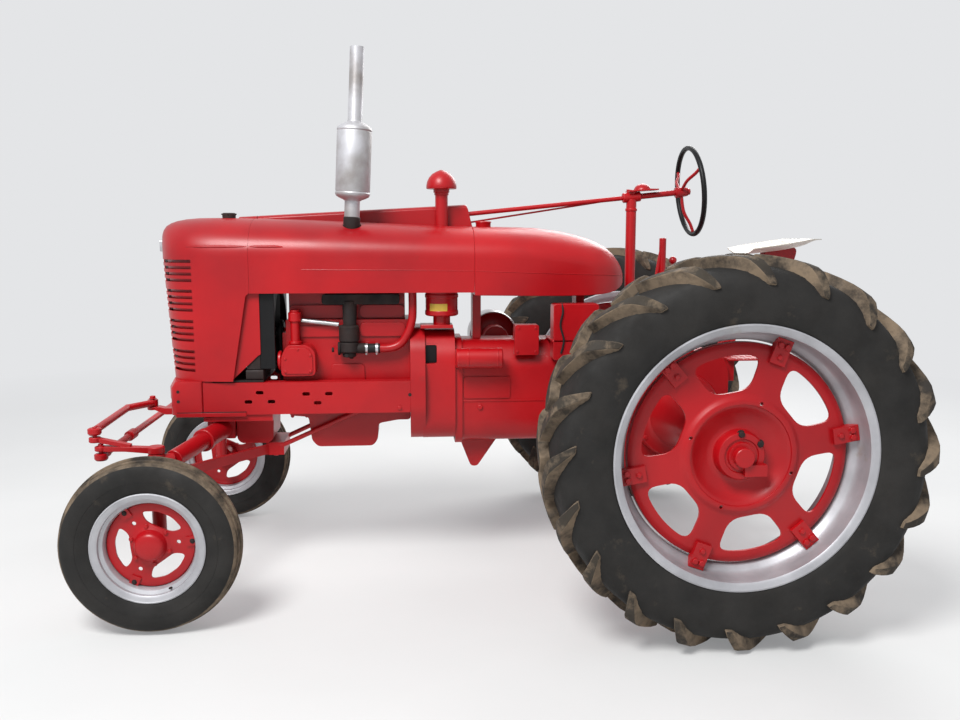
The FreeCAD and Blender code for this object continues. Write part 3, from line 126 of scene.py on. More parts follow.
class CameraSettings(bpy.types.PropertyGroup):
    lens: bpy.props.FloatProperty(
        name="Lens", description="Focal length in millimetres on a 36 mm sensor", default=33.77,
    )
    place: bpy.props.FloatVectorProperty(
        name="Camera place", description="Where the camera stands", subtype="TRANSLATION",
        default=(0.3145, 4.338, 1.575),
    )
    yaw: bpy.props.FloatProperty(
        name="Yaw", description="Turn from straight across the tractor", default=-0.082, subtype="ANGLE",
    )
    pitch: bpy.props.FloatProperty(
        name="Pitch", description="Tilt below the horizon", default=-0.1344, subtype="ANGLE",
    )


# Forms
def smooth_path(points, steps):
    """Runs a smooth line through the points."""
    places = [Vector(p) for p in points]
    if len(places) == 2:
        return places
    path = []
    for n in range(len(places) - 1):
        before = places[max(n - 1, 0)]
        here, there = places[n], places[n + 1]
        after = places[min(n + 2, len(places) - 1)]
        for step in range(steps):
            t = step / steps
            path.append(
                here * (2 * t ** 3 - 3 * t ** 2 + 1) + there * (3 * t ** 2 - 2 * t ** 3)
                + (there - before) * ((t ** 3 - 2 * t ** 2 + t) / 2)
                + (after - here) * ((t ** 3 - t ** 2) / 2)
            )
    path.append(places[-1])
    return path


def rounded(corners, radius, steps=5):
    """Rounds the corners of a closed flat outline of (a, b) points."""
    outline = []
    count = len(corners)
    for n in range(count):
        here = Vector(corners[n])
        back = Vector(corners[n - 1]) - here
        ahead = Vector(corners[(n + 1) % count]) - here
        reach = min(radius, back.length * 0.49, ahead.length * 0.49)
        start, end = here + back.normalized() * reach, here + ahead.normalized() * reach
        for step in range(steps + 1):
            t = step / steps
            outline.append(tuple(start * (1 - t) ** 2 + here * 2 * t * (1 - t) + end * t ** 2))
    return outline


class Form:
    """A mesh in the making, with its places in millimetres ahead of the rear axle."""

    def __init__(self):
        self.mesh = bmesh.new()
        self.tint = 0

    def points(self, places):
        return [self.mesh.verts.new(at(*place)) for place in places]

    def face(self, corners):
        made = self.mesh.faces.new(corners)
        made.material_index = self.tint
        return made

    def bridge(self, near, far):
        """Joins two closed rows of corners; a row of one corner is a tip."""
        count = max(len(near), len(far))
        for j in range(count):
            k = (j + 1) % count
            corners = [near[j % len(near)], near[k % len(near)], far[k % len(far)], far[j % len(far)]]
            if len(near) == 1:
                corners = corners[1:]
            if len(far) == 1:
                corners = corners[:3]
            if len(near) > 1 or len(far) > 1:
                self.face(corners)

    def loft(self, sections):
        """A closed skin through sections with the same number of points."""
        rows = [self.points(section) for section in sections]
        for near, far in zip(rows, rows[1:]):
            self.bridge(near, far)
        self.face(rows[0])
        self.face(rows[-1][::-1])
        return self

    def turned(self, profile, centre, axis=(0, 1, 0), sides=64):
        """Turns closed (along, radius) points about an axis."""
        way = Vector(axis).normalized()
        across = way.orthogonal().normalized()
        other = way.cross(across)
        rows = []
        for along, radius in profile:
            middle = Vector(centre) + way * along
            if radius < 0.01:
                rows.append(self.points([middle]))
                continue
            turns = [2 * math.pi * k / sides for k in range(sides)]
            rows.append(self.points(
                [middle + across * (radius * math.cos(a)) + other * (radius * math.sin(a)) for a in turns]
            ))
        for near, far in zip(rows, rows[1:] + rows[:1]):
            self.bridge(near, far)
        return self

    def rod(self, start, end, radius, far_radius=None, sides=24, edge=0.0):
        """A round bar or cone; edge is the width of its chamfers."""
        far_radius = radius if far_radius is None else far_radius
        way = Vector(end) - Vector(start)
        length = way.length
        corners = [(0, radius), (length, far_radius)]
        if edge:
            corners = [
                (0, radius - edge), (edge, radius), (length - edge, far_radius), (length, far_radius - edge),
            ]
        return self.turned([(0, 0), *corners, (length, 0)], start, way, sides)

    def along(self, x0, x1, y, z, radius, *far_radius, **more):
        return self.rod((x0, y, z), (x1, y, z), radius, *far_radius, **more)

    def across(self, x, y0, y1, z, radius, *far_radius, **more):
        return self.rod((x, y0, z), (x, y1, z), radius, *far_radius, **more)

    def upright(self, x, y, z0, z1, radius, *far_radius, **more):
        return self.rod((x, y, z0), (x, y, z1), radius, *far_radius, **more)

    def ball(self, centre, radius, sides=24, squeeze=1.0):
        profile = []
        for step in range(13):
            angle = math.pi * step / 12
            profile.append((-radius * squeeze * math.cos(angle), radius * math.sin(angle)))
        return self.turned(profile, centre, (0, 0, 1), sides)

    def block(self, x0, x1, y0, y1, z0, z1):
        low = [(x0, y0, z0), (x1, y0, z0), (x1, y1, z0), (x0, y1, z0)]
        return self.loft([low, [(x, y, z1) for x, y, _ in low]])

    def side_plate(self, outline, y0, y1):
        """A plate whose outline is (x, z) points."""
        return self.loft([[(x, y, z) for x, z in outline] for y in (y0, y1)])

    def cross_plate(self, outline, x0, x1):
        return self.loft([[(x, y, z) for y, z in outline] for x in (x0, x1)])

    def plan_plate(self, outline, z0, z1):
        return self.loft([[(x, y, z) for x, y in outline] for z in (z0, z1)])

    def tube(self, points, radius, sides=16, steps=8, taper=0.0):
        """A round tube along a smooth line; taper thins both ends."""
        path = smooth_path(points, steps)
        side = None
        rows = []
        for n, place in enumerate(path):
            way = (path[min(n + 1, len(path) - 1)] - path[max(n - 1, 0)]).normalized()
            side = (way.orthogonal() if side is None else side - way * side.dot(way)).normalized()
            other = way.cross(side)
            share = n / (len(path) - 1)
            reach = radius * (1 - taper * (1 - math.sin(math.pi * share)) ** 2)
            turns = [2 * math.pi * k / sides for k in range(sides)]
            rows.append([place + side * (reach * math.cos(a)) + other * (reach * math.sin(a)) for a in turns])
        return self.loft(rows)

    def bolt(self, centre, axis, size, height=None):
        """A hexagon head on a washer; size is its width across the corners."""
        height = size * 0.42 if height is None else height
        self.turned([(0, 0), (0, size * 0.62), (2, size * 0.62), (2, 0)], centre, axis, 16)
        profile = [(1, 0), (1, size / 2), (height * 0.8, size / 2), (height, size * 0.4), (height, 0)]
        return self.turned(profile, centre, axis, 6)

    def as_object(self, name):
        bmesh.ops.recalc_face_normals(self.mesh, faces=self.mesh.faces)
        mesh = bpy.data.meshes.new(name)
        self.mesh.to_mesh(mesh)
        self.mesh.free()
        made = bpy.data.objects.new(name, mesh)
        bpy.context.scene.collection.objects.link(made)
        return made

    def cut(self, tool):
        """Takes another form away from this one."""
        stock, knife = self.as_object("stock"), tool.as_object("knife")
        change = stock.modifiers.new("cut", "BOOLEAN")
        change.operation = "DIFFERENCE"
        change.solver = "EXACT"
        change.object = knife
        seen = bpy.context.evaluated_depsgraph_get()
        result = bpy.data.meshes.new_from_object(stock.evaluated_get(seen))
        self.mesh = bmesh.new()
        self.mesh.from_mesh(result)
        bpy.data.meshes.remove(result)
        for spent in (stock, knife):
            mesh = spent.data
            bpy.data.objects.remove(spent)
            bpy.data.meshes.remove(mesh)
        return self

    def flipped(self):
        """Mirrors the form to the tractor's right side."""
        for corner in self.mesh.verts:
            corner.co.y = -corner.co.y
        bmesh.ops.reverse_faces(self.mesh, faces=self.mesh.faces)
        return self

    def tint_beyond(self, centre, radius):
        """Gives the second finish to the faces that lie further out than a radius from a cross axis."""
        for face in self.mesh.faces:
            middle = face.calc_center_median() - at(*centre)
            face.material_index = int(math.hypot(middle.x, middle.z) > radius * MM)

    def done(self, name, finishes, node=None, body="chassis", edge=0.0, crease=CREASE):
        """Makes the piece, with its finishes, the node it stands for or the body it rides on."""
        piece = self.as_object(name)
        piece.data.polygons.foreach_set("use_smooth", [True] * len(piece.data.polygons))
        piece.data.set_sharp_from_angle(angle=math.radians(crease))
        if edge:
            worn = piece.modifiers.new("worn edge", "BEVEL")
            worn.width = edge
            worn.segments = 2
            worn.limit_method = "ANGLE"
            worn.angle_limit = math.radians(crease)
        finishes = [finishes] if isinstance(finishes, str) else finishes
        for each in finishes:
            piece.data.materials.append(finish(each))
        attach(piece, BODY_OF_NODE[node] if node else body)
        if node:
            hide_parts(node)
        return piece


def noise(tree, scale, detail, roughness=0.55):
    place = tree.nodes.new("ShaderNodeTexCoord")
    grain = tree.nodes.new("ShaderNodeTexNoise")
    grain.inputs["Scale"].default_value = scale
    grain.inputs["Detail"].default_value = detail
    grain.inputs["Roughness"].default_value = roughness
    tree.links.new(place.outputs["Object"], grain.inputs["Vector"])
    return grain.outputs["Fac"]


def ramp(tree, factor, low, high, start=0.0, end=1.0):
    """Spreads a factor between two stops."""
    step = tree.nodes.new("ShaderNodeMapRange")
    step.inputs["From Min"].default_value = low
    step.inputs["From Max"].default_value = high
    step.inputs["To Min"].default_value = start
    step.inputs["To Max"].default_value = end
    tree.links.new(factor, step.inputs["Value"])
    return step.outputs["Result"]


def combined(tree, operation, first, second):
    step = tree.nodes.new("ShaderNodeMath")
    step.operation = operation
    tree.links.new(first, step.inputs[0])
    tree.links.new(second, step.inputs[1])
    return step.outputs["Value"]


def blended(tree, factor, first, second):
    mix = tree.nodes.new("ShaderNodeMix")
    mix.data_type = "RGBA"
    tree.links.new(factor, mix.inputs["Factor"])
    for socket, value in ((mix.inputs[6], first), (mix.inputs[7], second)):
        if isinstance(value, bpy.types.NodeSocket):
            tree.links.new(value, socket)
        else:
            socket.default_value = tuple(value)
    return mix.outputs[2]


def worn_surface(name, base, other, drift, roughness, metallic=0.0, grain=90.0, depth=0.0006,
                 soil=None, soil_range=(0.62, 0.72), soil_scale=7.0, coat=0.0, gleam=0.5):
    """A finish that drifts between two tones, with a fine grain and patches of dust."""
    material = bpy.data.materials.new(name)
    material.use_nodes = True
    tree = material.node_tree
    shader = tree.nodes["Principled BSDF"]
    levels = {"Metallic": metallic, "Coat Weight": coat, "Coat Roughness": 0.25, "Specular IOR Level": gleam}
    for socket, level in levels.items():
        shader.inputs[socket].default_value = level
    colour = blended(tree, ramp(tree, noise(tree, drift, 5), 0.35, 0.68), base, other)
    gloss = ramp(tree, noise(tree, drift * 2.3, 6), 0.3, 0.75, roughness * 0.85, min(1.0, roughness * 1.3))
    if soil is not None:
        patches = ramp(tree, noise(tree, soil_scale, 10, 0.68), *soil_range)
        colour = blended(tree, patches, colour, soil)
        gloss = combined(tree, "MAXIMUM", gloss, patches)
    tree.links.new(colour, shader.inputs["Base Color"])
    tree.links.new(gloss, shader.inputs["Roughness"])
    bump = tree.nodes.new("ShaderNodeBump")
    bump.inputs["Strength"].default_value = 0.6
    bump.inputs["Distance"].default_value = depth
    tree.links.new(noise(tree, grain, 3), bump.inputs["Height"])
    tree.links.new(bump.outputs["Normal"], shader.inputs["Normal"])
    return material


def finish_settings(name):
    """The tones, drift, roughness and metal of a finish, and what else sets it apart."""
    paint = bpy.context.scene.tractor_paint
    dust = tuple(paint.dust)
    return {
        RED: ((paint.red, paint.shade, 1.6, 0.36), {
            "grain": 55.0, "depth": 0.0003, "soil": linear(112, 38, 32), "soil_range": (0.66, 0.9),
            "coat": 0.12,
            "gleam": 0.35,
        }),
        "silver paint": ((paint.silver, linear(150, 150, 154), 4.0, 0.42, 0.45), {
            "grain": 70.0, "soil": linear(150, 138, 120), "soil_range": (0.62, 0.8),
        }),
        "stack steel": ((linear(192, 192, 196), linear(140, 134, 130), 6.0, 0.45, 0.5), {
            "grain": 60.0, "soil": linear(112, 78, 56), "soil_range": (0.66, 0.8),
        }),
        "tyre rubber": ((paint.rubber, linear(41, 39, 37), 5.0, 0.72), {
            "grain": 160.0, "depth": 0.0008, "soil": linear(84, 74, 62), "soil_range": (0.6, 0.82),
            "gleam": 0.3,
        }),
        "dusty lug": ((linear(58, 51, 44), linear(44, 40, 36), 7.0, 0.85), {
            "depth": 0.002, "soil": dust, "soil_range": (0.38, 0.6), "soil_scale": 9.0, "gleam": 0.3,
        }),
        "worn lug": ((linear(44, 40, 36), linear(62, 56, 48), 6.0, 0.78), {
            "grain": 120.0, "depth": 0.0012, "soil": dust, "soil_range": (0.5, 0.68), "soil_scale": 11.0,
            "gleam": 0.3,
        }),
        IRON: ((linear(27, 25, 25), linear(48, 31, 27), 9.0, 0.7, 0.3), {"grain": 110.0, "depth": 0.0012}),
        BLACK: ((linear(10, 10, 12), linear(17, 17, 18), 4.0, 0.42), {"grain": 60.0, "gleam": 0.25}),
        "black rubber": ((linear(18, 18, 19), linear(28, 28, 28), 6.0, 0.6), {"grain": 120.0, "gleam": 0.3}),
        # Seat finish: its pale tone is a painted reflection of sunlight on the seat top, with patches of real
        # dust.
        "seat paint": ((linear(214, 208, 198), linear(186, 178, 166), 5.0, 0.45, 0.1), {
            "grain": 60.0, "soil": linear(140, 112, 86), "soil_range": (0.66, 0.78),
        }),
        "yellow label": ((linear(198, 164, 60), linear(176, 140, 50), 12.0, 0.5), {}),
        STEEL: ((linear(200, 200, 204), linear(165, 163, 160), 12.0, 0.32, 0.85), {"grain": 80.0}),
    }[name]


def finish(name):
    if name in bpy.data.materials:
        return bpy.data.materials[name]
    tones, more = finish_settings(name)
    return worn_surface(name, *tones, **more)


def both_sides(name, build, finishes, node=None, body=None, **more):
    """Makes a piece for the left side and its mirrored twin for the right."""
    for side in ("left", "right"):
        form = build()
        if side == "right":
            form.flipped()
        place = {"node": f"{node}_{side}"} if node else {"body": f"{body}_{side}"}
        form.done(f"{name}_{side}", finishes, **place, **more)


def from_wheel(centre, along, radius, angle):
    """A point of a wheel: along its axle, and out at an angle in degrees from straight ahead."""
    a = math.radians(angle)
    return (centre[0] + radius * math.cos(a), centre[1] + along, centre[2] + radius * math.sin(a))


# Tyres
REAR_SIDES, FRONT_SIDES = 120, 96
LUG_PHASE = 6.1
LUG_STATIONS = (
    # turn in degrees, top (along, radius), base (along, radius), half width in degrees
    (0.0, (-8, 759), (-8, 690), 2.2),
    (2.9, (35, 760), (35, 690), 2.2),
    (5.8, (74, 758), (74, 690), 2.2),
    (8.6, (112, 755), (112, 686), 2.2),
    (10.6, (138, 750), (132, 680), 2.15),
    (12.0, (157, 739), (142, 674), 2.05),
    (13.3, (169, 720), (148, 668), 1.85),
    (14.8, (177, 697), (153, 660), 1.6),
    (16.2, (180, 674), (157, 652), 1.3),
    (17.0, (180, 656), (158, 646), 1.0),
)
REAR_TYRE_HALF = (
    (147, 484), (152, 490), (152, 509), (158, 516), (161, 532), (168, 556), (172, 588), (172, 618),
    (169, 650),
    (161, 678), (146, 697), (118, 709), (70, 717), (0, 720),
)
FRONT_TYRE_HALF = (
    (56, 204), (57, 226), (62, 231), (66, 245), (75, 265), (79, 287), (78.5, 305), (74, 322), (66, 336),
    (58, 343),
    (51, 346), (48, 340), (41, 340), (38, 350), (22, 352), (19, 345), (13, 345), (10, 359), (0, 360),
)


def whole_profile(half):
    return list(half) + [(-along, radius) for along, radius in reversed(half) if along > 0]


class TRACTOR_OT_tyres(bpy.types.Operator):
    """Makes the lugged rear tyres and the ribbed front tyres"""

    bl_idname = "tractor.tyres"
    bl_label = "Tyres"

    def lug(self, form, start, side):
        rows = []
        for lean, top, base, half in LUG_STATIONS:
            row = []
            for (along, radius), swing in (
                (base, -half - 0.6), (top, -half), (top, half), (base, half + 0.6),
            ):
                row.append(from_wheel(REAR_CENTRE, side * along, radius, start + lean + swing))
            rows.append(row)
        before = len(form.mesh.faces)
        form.loft(rows)
        form.mesh.faces.ensure_lookup_table()
        for n in range(len(LUG_STATIONS) - 1):
            form.mesh.faces[before + 4 * n + 1].material_index = 2

    def rear(self):
        form = Form().turned(whole_profile(REAR_TYRE_HALF), REAR_CENTRE, sides=REAR_SIDES)
        for along, radius in ((171.5, 600), (165, 545)):
            for side in (1, -1):
                ring = [(side * (along + a), radius + r) for a, r in ((-4, -5), (1.5, 0), (-4, 5))]
                form.turned(ring, REAR_CENTRE, sides=REAR_SIDES)
        form.tint = 1
        lugs = bpy.context.scene.tractor_tyres.lugs
        for k in range(lugs):
            for side, stagger in ((1, 0.0), (-1, 0.5)):
                self.lug(form, 360 / lugs * (k + stagger) + LUG_PHASE, side)
        return form

    def front(self):
        form = Form().turned(whole_profile(FRONT_TYRE_HALF), FRONT_CENTRE, sides=FRONT_SIDES)
        form.tint_beyond(FRONT_CENTRE, 338)
        for side in (1, -1):
            ring = [(side * (76 + a), 276 + r) for a, r in ((-4, -4), (2, 0), (-4, 4))]
            form.turned(ring, FRONT_CENTRE, sides=FRONT_SIDES)
        return form

    def execute(self, context):
        edge = context.scene.tractor_tyres.edge
        both_sides("lugged_tyre", self.rear, ["tyre rubber", "dusty lug", "worn lug"], "rear_tyre", edge=edge)
        both_sides("ribbed_tyre", self.front, ["tyre rubber", "dusty lug"], "front_tyre")
        return {"FINISHED"}


# Rims and wheel centres
REAR_RIM = (
    (159, 502), (157, 508), (153, 508), (151, 503), (150, 487), (146, 483.2), (90, 483.2), (68, 479),
    (54, 469), (42, 455), (30, 447), (0, 445),
)
REAR_RIM_INSIDE = (
    (156, 496), (153, 484), (146, 476), (96, 475), (71, 470), (57, 460), (45, 446), (33, 438), (0, 436),
)
FRONT_RIM = (
    (64, 221), (62, 225.5), (58, 225.5), (56.5, 221), (56, 206), (52, 203), (38, 202), (30, 188), (22, 182),
    (0, 182),
)
FRONT_RIM_INSIDE = ((61, 216), (60, 205), (54, 196.5), (41, 195), (34, 181), (24, 176), (0, 176))
REAR_DISC = (
    (-62, 0), (26, 0), (26, 52), (14, 55), (14, 64), (20, 67), (20, 88), (15, 92), (-26, 97), (-31, 106),
    (-30, 122),
    (-23, 145), (-12, 165), (0, 180), (8, 190), (10, 195), (15, 197), (16, 201), (16, 212), (13, 219),
    (4, 228),
    (0, 240), (-9, 400), (-13, 416), (-22, 428), (-52, 430), (-52, 422), (-26, 416), (-20, 398), (-12, 232),
    (-12, 219), (-44, 160), (-46, 150), (-48, 92), (-62, 86),
)
FRONT_DISC = (
    (-66, 20.2), (-66, 44), (-9, 62), (-13, 90), (-9, 150), (-9, 160), (-13, 170), (-22, 175.4), (-8, 175.4),
    (-2, 170), (0, 160), (0, 150), (-4, 92), (4, 74), (8, 66), (26, 58), (34, 54), (40, 44), (43, 22),
    (43, 0),
    (16.5, 0), (16.5, 20.2),
)
REAR_FACE, FRONT_FACE = 67.0, 12.0
DISC_TURN, FRONT_TURN = -10.0, 55.0


def window(centre, inner, outer, half, narrow, middle, corner):
    """A rounded window between two radii of a wheel, as a form to cut with; angles are in degrees."""
    arc = [
        (outer, half), (outer, half / 3), (outer, -half / 3), (outer, -half), (inner, -narrow),
        (inner, narrow),
    ]
    places = [from_wheel(centre, 0, radius, middle + angle) for radius, angle in arc]
    return Form().side_plate(rounded([(x, z) for x, _, z in places], corner), centre[1] - 60, centre[1] + 120)


class TRACTOR_OT_wheels(bpy.types.Operator):
    """Makes the silver rims, the pressed red wheel centres, their clamps, hubs and bolts"""

    bl_idname = "tractor.wheels"
    bl_label = "Rims and wheel centres"

    def rear_rim(self):
        return self.rim(REAR_CENTRE, REAR_RIM, REAR_RIM_INSIDE, REAR_SIDES)

    def front_rim(self):
        return self.rim(FRONT_CENTRE, FRONT_RIM, FRONT_RIM_INSIDE, FRONT_SIDES)

    def rim(self, centre, outer, inner, sides):
        """A rim, from its tyre side and its inside, each from one flange to the middle."""
        return Form().turned(whole_profile(outer) + whole_profile(inner)[::-1], centre, sides=sides)

    def rear_disc(self):
        form = Form().turned([(REAR_FACE + a, r) for a, r in REAR_DISC], REAR_CENTRE, sides=REAR_SIDES)
        for k in range(6):
            form.cut(window(REAR_CENTRE, 254, 384, 21, 17, 60 * k + DISC_TURN + 30, 46))
        for k in range(4):
            x, y, z = from_wheel(REAR_CENTRE, REAR_FACE, 210, 90 * k + 19.8)
            form.cut(Form().across(x, y - 50, y + 40, z, 7.5))
        for k in range(6):
            form.block(368, 468, REAR_FACE - 28, REAR_FACE + 8, -31, 31)
            self.swing(form, REAR_CENTRE, 60 * k + DISC_TURN)
        x, y, z = from_wheel(REAR_CENTRE, REAR_FACE, 0, 0)
        form.across(x, 778, y + 58, z, 38, sides=40, edge=3)
        return form.block(x - 92, x - 6, y + 10, y + 44, z - 74, z - 30)

    def swing(self, form, centre, angle):
        """Turns the block made last, drawn on the wheel's own line, to its place round the wheel."""
        a = math.radians(angle)
        form.mesh.verts.ensure_lookup_table()
        for corner in form.mesh.verts[-8:]:
            x, y, z = (corner.co.x - REAR_AXLE_X) / MM, corner.co.y / MM, corner.co.z / MM
            corner.co = at(
                centre[0] + x * math.cos(a) - z * math.sin(a), centre[1] + y,
                centre[2] + x * math.sin(a) + z * math.cos(a),
            )

    def rear_fittings(self):
        form = Form()
        for k in range(6):
            for radius, spread, size in ((442, -1.8, 26), (442, 1.8, 26), (396, 0, 22)):
                place = from_wheel(REAR_CENTRE, REAR_FACE + 8, radius, 60 * k + DISC_TURN + spread)
                form.bolt(place, (0, 1, 0), size)
        form.tint = 1
        for angle in (87, 147):
            form.bolt(from_wheel(REAR_CENTRE, REAR_FACE + 12, 84, angle), (0, 1, 0), 27, 16)
        return form

    def front_disc(self):
        form = Form().turned([(FRONT_FACE + a, r) for a, r in FRONT_DISC], FRONT_CENTRE, sides=FRONT_SIDES)
        for k in range(3):
            form.cut(window(FRONT_CENTRE, 96, 142, 38, 34, 120 * k + FRONT_TURN - 60, 20))
            x, y, z = from_wheel(FRONT_CENTRE, FRONT_FACE, 109, 120 * k + FRONT_TURN)
            form.cut(Form().across(x, y - 40, y + 40, z, 8.5))
        for k in range(3):
            form.block(140, 191, FRONT_FACE - 4, FRONT_FACE + 7, -19, 19)
            self.swing(form, FRONT_CENTRE, 120 * k + FRONT_TURN)
        return form

    def front_fittings(self):
        form = Form()
        for k in range(6):
            form.bolt(from_wheel(FRONT_CENTRE, FRONT_FACE + 3, 78, 60 * k + 20), (0, 1, 0), 17)
        form.tint = 1
        for k in range(3):
            form.bolt(from_wheel(FRONT_CENTRE, FRONT_FACE + 6, 165, 120 * k + FRONT_TURN), (0, 1, 0), 17)
        return form.rod(from_wheel(FRONT_CENTRE, 30, 190, 245), from_wheel(FRONT_CENTRE, 56, 182, 245), 4.5)

    def execute(self, context):
        both_sides("rear_silver_rim", self.rear_rim, "silver paint", "rear_rim")
        both_sides("front_silver_rim", self.front_rim, "silver paint", "front_rim")
        both_sides("rear_pressed_centre", self.rear_disc, RED, "rear_disc", edge=0.002)
        both_sides("front_pressed_centre", self.front_disc, RED, "front_disc")
        for end, build in (("rear", self.rear_fittings), ("front", self.front_fittings)):
            both_sides(f"{end}_wheel_bolts", build, [RED, IRON], body=f"{end}_wheel", edge=0.001)
        return {"FINISHED"}


# Bonnet, grille shell and tank
HOOD = {"half": 250.0, "low": 1330.0, "side": 1500.0, "top": 1676.0}
SLOT_GROUPS = (1431, 1298, 1162, 1025)
ARCH_STEPS = 15
ARCH_FULLNESS = 0.952
BONNET_STATIONS = (
    # x, side top, top
    (944, 1484, 1631), (1091, 1485, 1634), (1464, 1490, 1651), (1734, 1493, 1661), (1953, 1494, 1666),
)
NOSE_STATIONS = (
    # x, narrower, lower, share of the rake
    (1953.8, 0, 10, 0.0), (2040, 1, 8, 0.34), (2125, 6, 7, 0.68), (2205, 16, 8, 1.0), (2262, 36, 13, 1.0),
    (2305, 62, 21, 1.0), (2335, 92, 31, 1.0), (2356, 124, 43, 1.0), (2370, 160, 60, 1.0), (
        2378, 192, 77, 1.0,
    ),
    (2381, 220, 92, 1.0),
)
TANK_STATIONS = (
    # x, half, low, side top, top
    (943.2, 250, 1316, 1484, 1631), (840, 249.5, 1315, 1483, 1629), (730, 247, 1313, 1480, 1627),
    (640, 242, 1312, 1474, 1624), (525, 228, 1311, 1462, 1609), (450, 214, 1311, 1450, 1592),
    (395, 199, 1312, 1440, 1577), (340, 178, 1315, 1428, 1556), (295, 153, 1321, 1416, 1531),
    (262, 126, 1330, 1406, 1502), (238, 97, 1342, 1398, 1472), (222, 70, 1353, 1392, 1446), (
        213, 46, 1362, 1388, 1424,
    ),
)


def panel_section(x, half, low, side_top, top, rake=0.0, inset=0.0):
    """A closed section of the bonnet's line: flat underneath, upright sides and a round arch on top."""
    half -= inset
    top -= inset
    right = [(half, low), (half, low + (side_top - low) * 0.5)]
    for step in range(ARCH_STEPS):
        angle = math.pi / 2 * step / ARCH_STEPS
        rise = (top - side_top) * math.sin(angle) ** ARCH_FULLNESS
        right.append((half * math.cos(angle) ** ARCH_FULLNESS, side_top + rise))
    outline = right + [(0, top)] + [(-y, z) for y, z in reversed(right)]
    return [(x - rake * (top - z), y, z) for y, z in outline]


def ridge_top(x):
    return 1676.0 + 62.0 * (2040.0 - x) / (2040.0 - 932.0)


def ridge_section(x, low, high, lean=0.0):
    """A round-topped section of the ridge over the steering shaft."""
    outline = [(-121.5, low), (-121.5, high - 14)]
    for step in range(1, 6):
        angle = math.radians(180 - 30 * step)
        outline.append((-80 + 41.5 * math.cos(angle), high - 14 + 14 * math.sin(angle)))
    outline += [(-38.5, high - 14), (-38.5, low)]
    return [(x - lean * (high - z), y, z) for y, z in outline]


